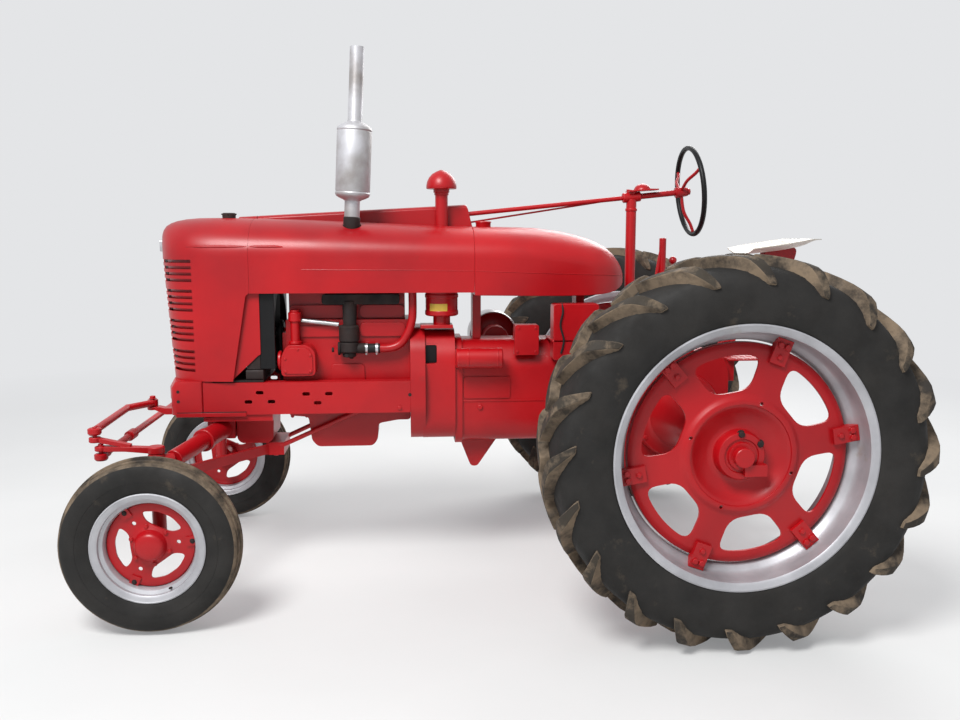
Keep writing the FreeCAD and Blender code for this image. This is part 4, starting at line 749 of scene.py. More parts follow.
class TRACTOR_OT_panels(bpy.types.Operator):
    """Makes the bonnet with its ridge, the slotted grille shell, the tank and the blank nose plate"""

    bl_idname = "tractor.panels"
    bl_label = "Bonnet, grille and tank"

    def bonnet(self):
        wall = bpy.context.scene.tractor_panels.wall / MM
        half, low = HOOD["half"], HOOD["low"]
        form = Form().loft([panel_section(x, half, low, side, top) for x, side, top in BONNET_STATIONS])
        inner = []
        for x, side, top in BONNET_STATIONS:
            past = {BONNET_STATIONS[0][0]: -9, BONNET_STATIONS[-1][0]: 9}.get(x, 0)
            inner.append(panel_section(x + past, half, low - 30, side, top, inset=wall))
        form.cut(Form().loft(inner))
        form.cut(Form().upright(1500, 120, 1560, 1720, 42, sides=40))
        return form

    def ridge(self):
        sections = [ridge_section(x, 1598 + (x - 940) * 0.036, ridge_top(x)) for x in (
            1952, 1800, 1400, 1000,
        )]
        for x, drop in ((974, 0), (964, 1), (958, 8)):
            sections.append(ridge_section(x, 1631, ridge_top(x) - drop, 0.25))
        form = Form().loft(sections)
        form.cut(Form().rod((880, -80, 1701), (1030, -80, 1685), 19))
        return form

    def shell(self):
        panels = bpy.context.scene.tractor_panels
        wall = panels.wall / MM + 1

        def nose(inset, low, back):
            sections = []
            for x, narrower, lower, share in NOSE_STATIONS:
                place = x - inset if x > 2200 else x
                if x < 1960:
                    place = x - back
                half = max(HOOD["half"] - narrower, 26 + inset)
                sections.append(panel_section(
                    place, half, low, HOOD["side"] - lower, HOOD["top"] - lower, 0.062 * share, inset,
                ))
            return Form().loft(sections)
        form = nose(0, 933.4, 0).cut(nose(wall, 900, 40))
        behind = Form().side_plate(
            [(1880, 890), (2045, 890), (1970, 1318), (1956, 1332), (1880, 1332)], -260, 260,
        )
        form.cut(behind)
        height, pitch = panels.slot_height / MM, panels.slot_pitch / MM
        slots = Form()
        for middle in SLOT_GROUPS:
            for k in range(4):
                z = middle - pitch * (k - 1.5)
                for side in (1, -1):
                    slots.block(2208, 2420, side * 28, side * 300, z - height / 2, z + height / 2)
        form.cut(slots)
        self.louvre_backs(nose(wall + 12, 940, 40).cut(nose(wall + 14, 900, 60)), height, pitch)
        form.cut(Form().upright(2075, 0, 1600, 1720, 31, sides=40))
        return form

    def louvre_backs(self, sheet, height, pitch):
        """Keeps a strip of sheet behind each slot of the grille."""
        sheet.cut(Form().block(1850, 2206, -300, 300, 850, 1700))
        edges = [1700]
        for middle in SLOT_GROUPS:
            for k in range(4):
                z = middle + pitch * (1.5 - k)
                edges += [z + height, z - height]
        edges.append(850)
        gaps = Form()
        for top, bottom in zip(edges[::2], edges[1::2]):
            if top > bottom:
                gaps.block(2190, 2400, -300, 300, bottom, top)
        sheet.cut(gaps).done("louvre_backs", RED)

    def side_line(self):
        """The fine pressed line along the bonnet and the tank."""
        form = Form().tube(
            [(1720, 249, 1436), (1500, 249.4, 1434), (1200, 249.4, 1432), (948, 249.4, 1429)], 2.2, sides=10,
        )
        along = [(x, half - 0.8, 1428 - (943 - x) * 0.036) for x, half, *_ in TANK_STATIONS[:-1]]
        form.tube([(940, 249, 1428), *along[1:]], 2.2, sides=10)
        return form

    def bead(self, start, end):
        """The raised line along the side, just under the shoulder."""
        points = []
        for step in range(7):
            x = start + (end - start) * step / 6
            narrower = 0.0
            for (x0, n0, *_), (x1, n1, *_) in zip(NOSE_STATIONS, NOSE_STATIONS[1:]):
                if x0 <= x <= x1:
                    narrower = n0 + (n1 - n0) * (x - x0) / (x1 - x0)
            drop = max(0.0, (1850 - x) / 60) ** 2 * 4
            points.append((x, 240.5 - narrower, 1538 - drop))
        return points

    def execute(self, context):
        self.bonnet().done("bonnet", RED, "hood", edge=0.0012)
        self.ridge().done("shaft_ridge", RED, edge=0.002)
        ahead = [ridge_section(x, 1634, ridge_top(x)) for x in (1954.2, 1990, 2039)]
        Form().loft(ahead).done("shaft_ridge_front", RED)
        self.shell().done("grille_shell_slotted", RED, "grille_shell", edge=0.0008)
        for side in ("left", "right"):
            form = Form()
            form.tube(self.bead(1790, 1952), 7, taper=0.9)
            form.tube(self.bead(1956, 2230), 7, taper=0.9)
            if side == "right":
                form.flipped()
            form.done(f"side_bead_{side}", RED)
            form = self.side_line()
            if side == "right":
                form.flipped()
            form.done(f"side_line_{side}", RED)
        tap = Form().along(216, 203, 0, 1384, 9, sides=20, edge=2)
        tap.done("tank_tap", STEEL)
        plate = Form().cross_plate(rounded([(-26, 1514), (26, 1514), (26, 1567), (-26, 1567)], 9), 2372, 2391)
        plate.done("blank_nose_plate", STEEL, edge=0.002)
        Form().loft([panel_section(*station) for station in TANK_STATIONS]).done(
            "tank", RED, node="fuel_tank", edge=0.003,
        )
        cap = Form().turned(
            [(1600, 0), (1600, 34), (1646, 36), (1650, 39), (1655, 37), (1655, 0)], (884, 0, 0), (0, 0, 1),
            40,
        )
        cap.done("filler_cap", RED, edge=0.001)
        return {"FINISHED"}


# Stacks
class TRACTOR_OT_stacks(bpy.types.Operator):
    """Makes the silencer with its pipe and the capped air intake"""

    bl_idname = "tractor.stacks"
    bl_label = "Silencer and air stack"

    def execute(self, context):
        way = (-40, 0, 800)
        base = (1500, 120, 1660)
        silencer = [
            (-56, 0), (-56, 35), (84, 35), (90, 44), (96, 60), (104, 74), (112, 79), (118, 80), (124, 77),
            (130, 79),
            (390, 79), (396, 77), (402, 80), (410, 78), (422, 66), (432, 46), (438, 34), (446, 32),
            (766, 32), (766, 28), (470, 28), (470, 0),
        ]
        Form().turned(silencer, base, way, 56).done("silencer", "stack steel", "exhaust")
        Form().turned([(-46, 35.5), (-40, 38.5), (8, 38.5), (12, 35.5)], base, way, 40).done(
            "silencer_clamp", IRON,
        )
        stack = [
            (1626, 0), (1626, 30), (1776, 30), (1778, 34), (1788, 34), (1790, 38), (1804, 38), (1806, 70),
            (1810, 72), (1822, 71.5), (1840, 68), (1860, 58), (1876, 43), (1887, 24), (1893, 10), (1895, 0),
        ]
        Form().turned(stack, (1083, 0, 0), (0, 0, 1), 56).done("air_intake", RED, "air_stack")
        return {"FINISHED"}


# Front axle and steering linkage
class TRACTOR_OT_front_axle(bpy.types.Operator):
    """Makes the axle tube, kingpins, knuckles, rods and stays"""

    bl_idname = "tractor.front_axle"
    bl_label = "Front axle and linkage"

    def axle(self):
        form = Form().block(2056, 2148, -150, 150, 651, 737)
        for side in (1, -1):
            y = side * 635
            inner, end = Vector((2106, side * 120, 699)), Vector((2226, side * 596, 666))
            split = inner.lerp(end, 0.42)
            form.rod(inner, split, 45, sides=40, edge=3)
            form.rod(split - (split - inner).normalized() * 4, end, 38, sides=40, edge=3)
            form.rod(end, (2283, y, 666), 28, sides=32)
            form.upright(2283, y, 590, 700, 33, sides=40, edge=3)
            clamp = inner.lerp(end, 0.40)
            form.rod(clamp, inner.lerp(end, 0.46), 51, sides=40, edge=3)
            for share in (0.415, 0.445):
                middle = inner.lerp(end, share)
                form.bolt((middle.x + 48, middle.y, middle.z), (1, 0, 0), 24)
        return form

    def knuckle(self):
        form = Form()
        form.upright(2283, 635, 328, 589.6, 28, sides=32, edge=3)
        form.upright(2283, 635, 560, 589.6, 33, sides=32, edge=3)
        form.upright(2283, 635, 588, 702, 20, sides=32)
        form.upright(2283, 635, 700.4, 732, 34, sides=32, edge=4)
        form.ball((2283, 635, 360), 32)
        form.across(2283, 640, 682, 360, 30, 24, sides=32)
        form.across(2283, 660, 790, 360, 19.9, sides=32)
        arm = [(2283, 702), (2401, 714), (2502, 716), (2502, 736), (2401, 734), (2283, 728)]
        form.side_plate(arm, 617, 653)
        form.upright(2502, 635, 716, 736, 24, sides=32, edge=3)
        form.upright(2502, 635, 674, 722, 9)
        form.bolt((2502, 635, 736), (0, 0, 1), 24)
        return form

    def knuckle_left(self):
        form = self.knuckle()
        form.side_plate([(2381, 726), (2509, 752), (2519, 774), (2381, 742)], 621, 649)
        form.upright(2523, 635, 752, 774, 24, sides=32, edge=3)
        form.upright(2523, 635, 770, 816, 9)
        return form

    def tie_rod(self):
        form = Form().across(2502, -618, 618, 694, 15, sides=32)
        form.across(2502, 190, 262, 694, 23, sides=32, edge=3)
        for side in (1, -1):
            form.across(2502, side * 560, side * 612, 694, 19, sides=32, edge=3)
            form.turned(
                [(-17, 10), (-17, 22), (-10, 27), (8, 27), (12, 20), (12, 10)], (2502, side * 635, 694),
                (0, 0, 1), 32,
            )
        return form

    def drag_link(self):
        form = Form().tube(
            [(2463, 18, 800), (2535, 128, 800), (2540, 170, 800), (2524, 612, 800)], 16, sides=20,
        )
        form.turned([(-14, 10), (-14, 24), (14, 24), (14, 10)], (2463, 0, 800), (0, 0, 1), 32)
        form.turned(
            [(-17, 10), (-17, 22), (-10, 27), (8, 27), (12, 20), (12, 10)], (2523, 635, 800), (0, 0, 1), 32,
        )
        return form

    def pitman(self):
        form = Form().upright(2223, 0, 744, 775.7, 34, sides=40, edge=4)
        outline = [
            (2223, 744), (2403, 744), (2449, 766), (2477, 766), (2477, 782), (2433, 782), (2403, 775),
            (2223, 775),
        ]
        form.side_plate(outline, -22, 22)
        form.upright(2463, 0, 766, 782, 26, sides=32, edge=2)
        form.upright(2463, 0, 780, 830, 9)
        form.bolt((2463, 0, 818), (0, 0, 1), 30, 14)
        return form

    def stays(self):
        form = Form()
        for side in (1, -1):
            inner, outer = Vector((1868, side * 30, 563)), Vector((2212, side * 600, 584))
            across = (outer - inner).cross(Vector((0, 0, 1))).normalized() * 8
            corners = [inner + across, outer + across, outer - across, inner - across]
            form.loft([corners, [c + Vector((0, 0, 44)) for c in corners]])
            form.tube([
                (1856, side * 104, 600), (1520, side * 115, 750), (1482, side * 116, 762),
                (1480, side * 116, 781.7),
            ], 11)
        form.block(1838, 1920, -112, 112, 560, 619.7)
        for y in (-80, 80):
            form.bolt((1880, y, 561), (0, 0, -1), 26)
        return form

    def execute(self, context):
        self.axle().done("axle_tube", RED, "front_axle", edge=0.002)
        self.knuckle_left().done("steering_knuckle_left", RED, "knuckle_left", edge=0.002)
        self.knuckle().flipped().done("steering_knuckle_right", RED, "knuckle_right", edge=0.002)
        self.tie_rod().done("track_rod", RED, "tie_rod")
        self.drag_link().done("steering_link", RED, "drag_link")
        self.pitman().done("steering_arm", RED, "pitman_arm", edge=0.002)
        self.stays().done("axle_stays", RED, "axle_braces", edge=0.002)
        return {"FINISHED"}


# Steering wheel, post, seat and levers
def column(x):
    return Vector((x, -80, 1800 - (x + 103) * 0.103))


class TRACTOR_OT_driver_place(bpy.types.Operator):
    """Makes the steering wheel, its post, the seat pan, its spring and the levers"""

    bl_idname = "tractor.driver_place"
    bl_label = "Steering wheel, seat and levers"

    def wheel_frame(self):
        way = Vector((1, 0, -0.103)).normalized()
        up = Vector((0, 1, 0)).cross(way).normalized()
        rim_centre = column(-149)
        return way, up, rim_centre

    def spokes(self):
        way, up, rim_centre = self.wheel_frame()
        form = Form().rod(column(992), column(-115), 11)
        form.rod(column(98), column(-74), 14)
        form.rod(column(-72), column(-131), 26, 22, sides=32, edge=3)
        form.bolt(column(-131), -way, 34, 16)
        for k in range(3):
            angle = math.radians(90 + 120 * k)
            out = up * math.sin(angle) + Vector((0, 1, 0)) * math.cos(angle)
            hub = column(-103)
            spoke = [hub + out * 12, hub + out * 95 - way * 6, rim_centre + out * 160 + way * 12]
            form.tube([*spoke, rim_centre + out * 206], 8, sides=14)
        return form

    def rim(self):
        way, up, rim_centre = self.wheel_frame()
        profile = []
        for k in range(16):
            angle = 2 * math.pi * k / 16
            profile.append((12.5 * math.sin(angle), 209.5 - 12.5 * math.cos(angle)))
        return Form().turned(profile, rim_centre, way, 96)

    def post(self):
        top = column(146)
        form = Form().upright(146, -80, 1092.3, top.z - 10, 25, sides=32)
        form.upright(146, -80, 1092.3, 1120, 60, sides=40, edge=4)
        for k in range(4):
            angle = k * math.pi / 2 + 0.8
            form.bolt((146 + 44 * math.cos(angle), -80 + 44 * math.sin(angle), 1120), (0, 0, 1), 20)
        form.upright(146, -80, 1706, 1722, 29, sides=32, edge=3)
        form.rod(column(191), column(101), 24, sides=32, edge=4)
        form.rod((150, -80, top.z + 10), (146, -80, top.z + 34), 20, 26, sides=32)
        quadrant = [(166, 1799), (20, 1809), (20, 1815), (60, 1815), (166, 1806)]
        form.side_plate(quadrant, -122, -38)
        dome = [(1806, 0), (1806, 43), (1813, 42), (1826, 35), (1836, 21), (1841, 0)]
        form.turned(dome, (92, -80, 0), (0, 0, 1), 40)
        return form

    def seat(self):
        form = Form()
        rows = []
        across_steps, along_steps = 14, 14
        for layer in (0.0, 5.0):
            rows = []
            for i in range(along_steps + 1):
                s = i / along_steps
                x = -383 - 365 * s
                half = 215 * (math.sin(math.pi * min(1.0, 0.22 + s * 0.72)) ** 0.45)
                row = []
                for j in range(across_steps + 1):
                    t = 2 * j / across_steps - 1
                    lift = 26 * abs(t) ** 3 + (18 * max(0.0, s - 0.75) / 0.25 if s > 0.75 else 0)
                    dip = -8 * (1 - t * t) * math.sin(math.pi * s)
                    z = 1502 + 0.154 * (-383 - x) + lift + dip - layer
                    row.append((x, half * t, min(z, 1572 - layer)))
                rows.append(row)
            layers = [self.mesh_row(form, row) for row in rows]
            if layer == 0.0:
                top = layers
        bottom = layers
        for grid in (top, bottom):
            for near, far in zip(grid, grid[1:]):
                for j in range(across_steps):
                    form.face([near[j], near[j + 1], far[j + 1], far[j]])
        rim_top = top[0] + [row[-1] for row in top[1:-1]] + top[-1][::-1] + [row[0] for row in top[-2:0:-1]]
        far_side = [row[-1] for row in bottom[1:-1]] + bottom[-1][::-1]
        rim_low = bottom[0] + far_side + [row[0] for row in bottom[-2:0:-1]]
        form.bridge(rim_top, rim_low)
        return form

    def mesh_row(self, form, row):
        return form.points(row)

    def seat_spring(self):
        outline = [
            (-320, 1008.3), (-500, 1270), (-640, 1440), (-664, 1536), (-480, 1508), (-540, 1430),
            (-330, 1120), (-270, 1008.3),
        ]
        form = Form().side_plate(rounded(outline, 40), -30, 30)
        form.bolt((-600, 0, 1531), (0, 0, 1), 26, 8)
        return form

    def levers(self):
        base = 1092.3
        form = Form()
        form.tube([(20, -150, base + 10), (14, -151, 1200), (-20, -157, 1450), (-40, -160, 1545)], 9)
        form.upright(-40, -159, 1330, 1576, 17.5, sides=28, edge=3)
        form.upright(20, -150, base, base + 34, 30, 20, sides=32, edge=3)
        form.tube([(60, -190, base + 6), (30, -194, 1200), (-90, -208, 1400), (-112, -211, 1450)], 8)
        form.upright(60, -190, base, base + 20, 14)
        for side, places in ((-1, (262, 330)), (1, (262,))):
            form.rod((270, side * 232.3, 900), (270, side * (max(places) + 26), 900), 16, edge=2)
            for y in places:
                form.tube([
                    (270, side * y, 900), (236, side * y, 990), (160, side * y, 1050), (120, side * y, 1075),
                ], 11)
                form.block(80, 150, side * y - 28, side * y + 28, 1072, 1082)
        return form

    def execute(self, context):
        self.spokes().done("steering_spokes", RED, "steering_shaft")
        self.rim().done("steering_wheel_rim", BLACK, "steering_rim")
        self.post().done("column_post", RED, "steering_post", edge=0.0015)
        # The seat shell takes the pale painted reflection as its colour all over.
        self.seat().done("seat_shell", "seat paint", "seat_pan", edge=0.001, crease=60)
        self.seat_spring().done("seat_bracket", RED, "seat_support", edge=0.004)
        self.levers().done("levers_and_pedals", RED, "control_levers", edge=0.002)
        knob = Form().ball((-110, -211, 1463), 20)
        knob.done("lever_knob", RED)
        throttle = Form().rod((940, -100, 1652), (300, -100, 1752), 4.5, sides=16)
        throttle.done("throttle_rod", RED)
        return {"FINISHED"}


# Engine
class TRACTOR_OT_engine(bpy.types.Operator):
    """Makes the engine block, head, manifold, carburettor, pipes, governor, radiator and fan"""

    bl_idname = "tractor.engine"
    bl_label = "Engine"

    def block_casting(self):
        form = Form().block(1240, 1812, -128, 128, 782, 1200)
        form.block(1811, 1830, -118, 118, 788, 1140)
        form.along(1812, 1835.7, 0, 1130, 26, sides=32)
        form.along(1812, 1878, 0, 1130, 9)
        form.along(1812, 1844, 0, 888, 22, sides=32)
        form.block(1240, 1330, -222.7, 222.7, 800, 900)
        for side in (1, -1):
            y = side * 128
            near, far = sorted((y - side * 2, y + side * 9))
            form.side_plate(rounded([(1262, 1122), (1470, 1122), (1470, 1186), (1262, 1186)], 22), near, far)
            form.side_plate(rounded([(1548, 1122), (1800, 1122), (1800, 1172), (1548, 1172)], 22), near, far)
            form.side_plate(rounded([(1452, 901), (1608, 901), (1608, 993), (1452, 993)], 24), near, far)
            for x in range(1280, 1800, 58):
                form.bolt((x, y - side * 1, 800), (0, side, 0), 16)
        return form

    def head(self):
        form = Form().block(1262, 1800, -86, 86, 1200, 1322)
        low, high = 1321, 1400
        form.cross_plate(rounded([(-72, low), (72, low), (70, high), (-70, high)], 26), 1285, 1770)
        form.upright(1778, 0, 1312, 1372, 30, sides=32, edge=3)
        for side in (1, -1):
            for x0, x1 in ((1264, 1472), (1540, 1798)):
                form.side_plate(
                    rounded([(x0, 1206), (x1, 1206), (x1, 1266), (x0, 1266)], 26), side * 85, side * 104,
                )
            for x in range(1290, 1800, 82):
                form.bolt((x, side * 70, 1321), (0, 0, 1), 22)
        return form

    def pan(self):
        outline = [
            (1240.5, 782), (1812, 782), (1812, 744), (1722, 736), (1708, 622), (1680, 592), (1420, 592),
            (1397, 622), (1392, 700), (1300, 716), (1240.5, 716),
        ]
        form = Form().side_plate(rounded(outline, 16), -92, 92)
        for x in range(1270, 1800, 66):
            for side in (1, -1):
                form.bolt((x, side * 84, 740), (0, side, 0), 14)
        return form

    def manifold(self):
        form = Form().side_plate(
            rounded([(1286, 1274), (1640, 1274), (1640, 1322), (1286, 1322)], 18), 112, 190,
        )
        form.upright(1520, 165, 1100.3, 1178, 46, sides=36, edge=6)
        form.rod((1516, 165, 1170), (1514, 165, 1290), 30, 34, sides=32)
        form.block(1474, 1566, 118, 165, 1112, 1150)
        form.tube([(1500, 130, 1296), (1500, 120, 1380), (1500, 120, 1480), (1500, 120, 1658)], 29, sides=28)
        form.upright(1500, 120, 1440, 1462, 40, sides=32, edge=3)
        for x in (1296, 1400, 1500, 1590):
            form.block(x, x + 46, 86.3, 114, 1278, 1318)
        return form

    def carburettor(self):
        form = Form().upright(1520, 165, 1052, 1099.7, 45, sides=36, edge=5)
        form.upright(1520, 165, 1030, 1056, 31, sides=36, edge=5)
        form.along(1590, 1600, 165, 1064, 11, sides=20, edge=1)
        form.along(1571, 1441, 165, 1070, 24, sides=32, edge=2)
        form.block(1471, 1551, 128.3, 165, 1048, 1078)
        form.along(1560, 1571, 165, 1070, 31, sides=32, edge=2)
        form.across(1530, 196, 204, 1040, 9)
        form.bolt((1511, 165, 1030), (0, 0, -1), 20)
        return form

    def air_pipe(self):
        bend = [(1334, 165, 1070), (1284, 165, 1090), (1250, 165, 1138), (1231, 165, 1192), (1226, 165, 1240)]
        return Form().tube([(1399, 165, 1070), *bend, (1226, 165, 1339.7)], 19, sides=24)

    def air_hose(self):
        return Form().along(1452, 1378, 165, 1070, 22, sides=32, edge=2)

    def hose_clamps(self):
        form = Form()
        for x in (1441, 1393):
            form.turned([(x - 6, 21), (x - 6, 24), (x + 6, 24), (x + 6, 21)], (0, 165, 1070), (1, 0, 0), 32)
            form.bolt((x, 165, 1047), (0, 0, -1), 11, 8)
        return form

    def cleaner(self):
        profile = [
            (1216, 0), (1216, 70), (1222, 78), (1240, 78), (1242, 75), (1300, 75), (1302, 78), (1316, 78),
            (1318, 75), (1420, 75), (1440, 50), (1440, 0),
        ]
        form = Form().turned(profile, (1090, 120, 0), (0, 0, 1), 56)
        form.upright(1090, 120, 1160.3, 1217, 40, sides=32)
        form.block(1040, 1190, 60, 180, 1160.3, 1176.3)
        form.rod((1140, 140, 1364), (1250, 165, 1364), 24, sides=28)
        return form

    def governor(self):
        form = Form()
        outline = rounded(
            [(1672, 952), (1826, 950), (1826, 1040), (1800, 1092), (1700, 1092), (1672, 1060)], 22,
        )
        form.side_plate(outline, 128.3, 218)
        form.side_plate(
            rounded([(1684, 962), (1816, 962), (1816, 1036), (1794, 1080), (1706, 1080), (1684, 1052)], 18),
            216, 224,
        )
        for x, z in ((1694, 972), (1806, 972), (1806, 1030), (1694, 1046), (1750, 1074)):
            form.bolt((x, 223, z), (0, 1, 0), 12)
        form.along(1826, 1842, 178, 1020, 44, sides=36, edge=4)
        form.upright(1765, 168, 1080, 1250, 21, sides=32)
        form.upright(1765, 168, 1196, 1240, 30, sides=32, edge=4)
        form.upright(1765, 168, 1092, 1108, 30, sides=32, edge=3)
        return form

    def radiator(self):
        form = Form()
        form.block(1918, 1978, -222, 222, 985, 1520)
        form.tint = 1
        guard = [
            (1914, 1054), (1926, 1047), (2042, 938), (2060, 940), (1986, 1330), (1986, 1520), (1914, 1520),
        ]
        for side in (1, -1):
            form.side_plate(guard, side * 222.5, side * 228)
        form.tint = 0
        form.cross_plate(rounded([(-200, 1519), (200, 1519), (200, 1590), (-200, 1590)], 30), 1906, 1984)
        form.block(1983, 2109, -70, 70, 1530, 1590)
        form.cross_plate(rounded([(-222, 933), (222, 933), (222, 986), (-222, 986)], 16), 1906, 1984)
        form.block(1906, 2134.7, -222, 222, 925.3, 934)
        form.upright(2075, 0, 1580, 1679, 25, sides=32)
        for k in range(26):
            z = 1000 + k * 20
            form.block(1978, 1981, -216, 216, z, z + 4)
            form.block(1914, 1918, -216, 216, z, z + 4)
        return form

    def shroud(self):
        form = Form().block(1850, 1917.7, -222, 222, 986.3, 1350)
        return form.cut(Form().along(1828, 1948, 0, 1130, 210, sides=72))

    def fan(self):
        form = Form().along(1860, 1886, 0, 1130, 34, sides=40, edge=3)
        profile = [
            (1836, 9.6), (1836, 50), (1841, 50), (1846, 40), (1850, 40), (1855, 50), (1860, 50), (1860, 9.6),
        ]
        form.turned(profile, (0, 0, 1130), (1, 0, 0), 56)
        for k in range(4):
            angle = math.radians(90 * k + 0)
            out = Vector((0, math.sin(angle), math.cos(angle)))
            side = Vector((0, out.z, -out.y))
            rows = []
            for radius, half in ((28, 22), (70, 34), (140, 38), (196, 34)):
                middle = Vector((1872, 0, 1130)) + out * radius
                lean = Vector((0.4, 0, 0)) * half
                rows.append([middle - side * half - lean, middle + side * half + lean,
                             middle + side * half + lean + Vector((3, 0, 0)),
                             middle - side * half - lean + Vector((3, 0, 0))])
            form.loft(rows)
        return form

    def belt(self):
        form = Form()
        outline, inner = [], []
        for k in range(25):
            angle = math.radians(180 * k / 24)
            outline.append((62 * math.cos(angle), 1130 + 62 * math.sin(angle)))
            inner.append((54 * math.cos(angle), 1130 + 54 * math.sin(angle)))
        for k in range(25):
            angle = math.radians(180 + 180 * k / 24)
            outline.append((66 * math.cos(angle), 888 + 66 * math.sin(angle)))
            inner.append((58 * math.cos(angle), 888 + 58 * math.sin(angle)))
        form.cross_plate(outline, 1841, 1853)
        form.cut(Form().cross_plate(inner, 1830, 1860))
        form.tint = 1
        form.turned(
            [(1841, 23), (1841, 57), (1845, 50), (1849, 50), (1853, 57), (1853, 23)], (0, 0, 888), (1, 0, 0),
            48,
        )
        return form

    def generator(self):
        form = Form().along(1560, 1745, -196, 1050, 58, sides=48, edge=5)
        form.along(1745, 1772, -196, 1050, 40, sides=40, edge=3)
        form.block(1590, 1720, -190, -128.3, 960, 1040)
        form.upright(1400, -172, 1040, 1150, 34, sides=36, edge=3)
        form.upright(1400, -172, 1148, 1190, 42, sides=36, edge=6)
        form.block(1378, 1422, -180, -128.3, 1000, 1050)
        return form

    def execute(self, context):
        self.block_casting().done("engine_casting", RED, "engine_block", edge=0.003)
        self.head().done("valve_cover_and_head", RED, "cylinder_head", edge=0.003)
        self.pan().done("sump", RED, "oil_pan", edge=0.004)
        self.manifold().done("manifold_casting", IRON, "manifold", edge=0.003)
        self.carburettor().done("carburettor_casting", IRON, "carburettor", edge=0.002)
        self.air_pipe().done("air_pipe_red", RED, "air_pipe")
        self.air_hose().done("air_hose", "black rubber")
        self.hose_clamps().done("air_hose_clamps", STEEL)
        self.cleaner().done("air_cleaner_can", RED, "air_cleaner", edge=0.002)
        self.governor().done("governor_casting", RED, "governor", edge=0.003)
        self.radiator().done("radiator_core", [IRON, RED], "radiator", edge=0.001)
        self.shroud().done("fan_cowl", BLACK, "fan_shroud", edge=0.002)
        self.fan().done("fan_blades", BLACK, "fan", edge=0.001)
        self.belt().done("belt_and_crank_pulley", ["black rubber", IRON], "fan_belt")
        self.generator().done("generator_and_distributor", IRON, "generator", edge=0.002)
        rod = Form().rod((1566, 150, 1180), (1739, 150, 1200), 11, edge=2)
        rod.done("governor_rod", STEEL)
        profile = [(1664, 0), (1664, 30), (1681, 31), (1689, 31), (1692, 26), (1692, 0)]
        cap = Form().turned(profile, (2075, 0, 0), (0, 0, 1), 40)
        for k in range(2):
            cap.block(2072 if k else 2040, 2078 if k else 2110, -36 if k else -4, 36 if k else 4, 1683, 1689)
        cap.done("radiator_cap", IRON, edge=0.001)
        return {"FINISHED"}


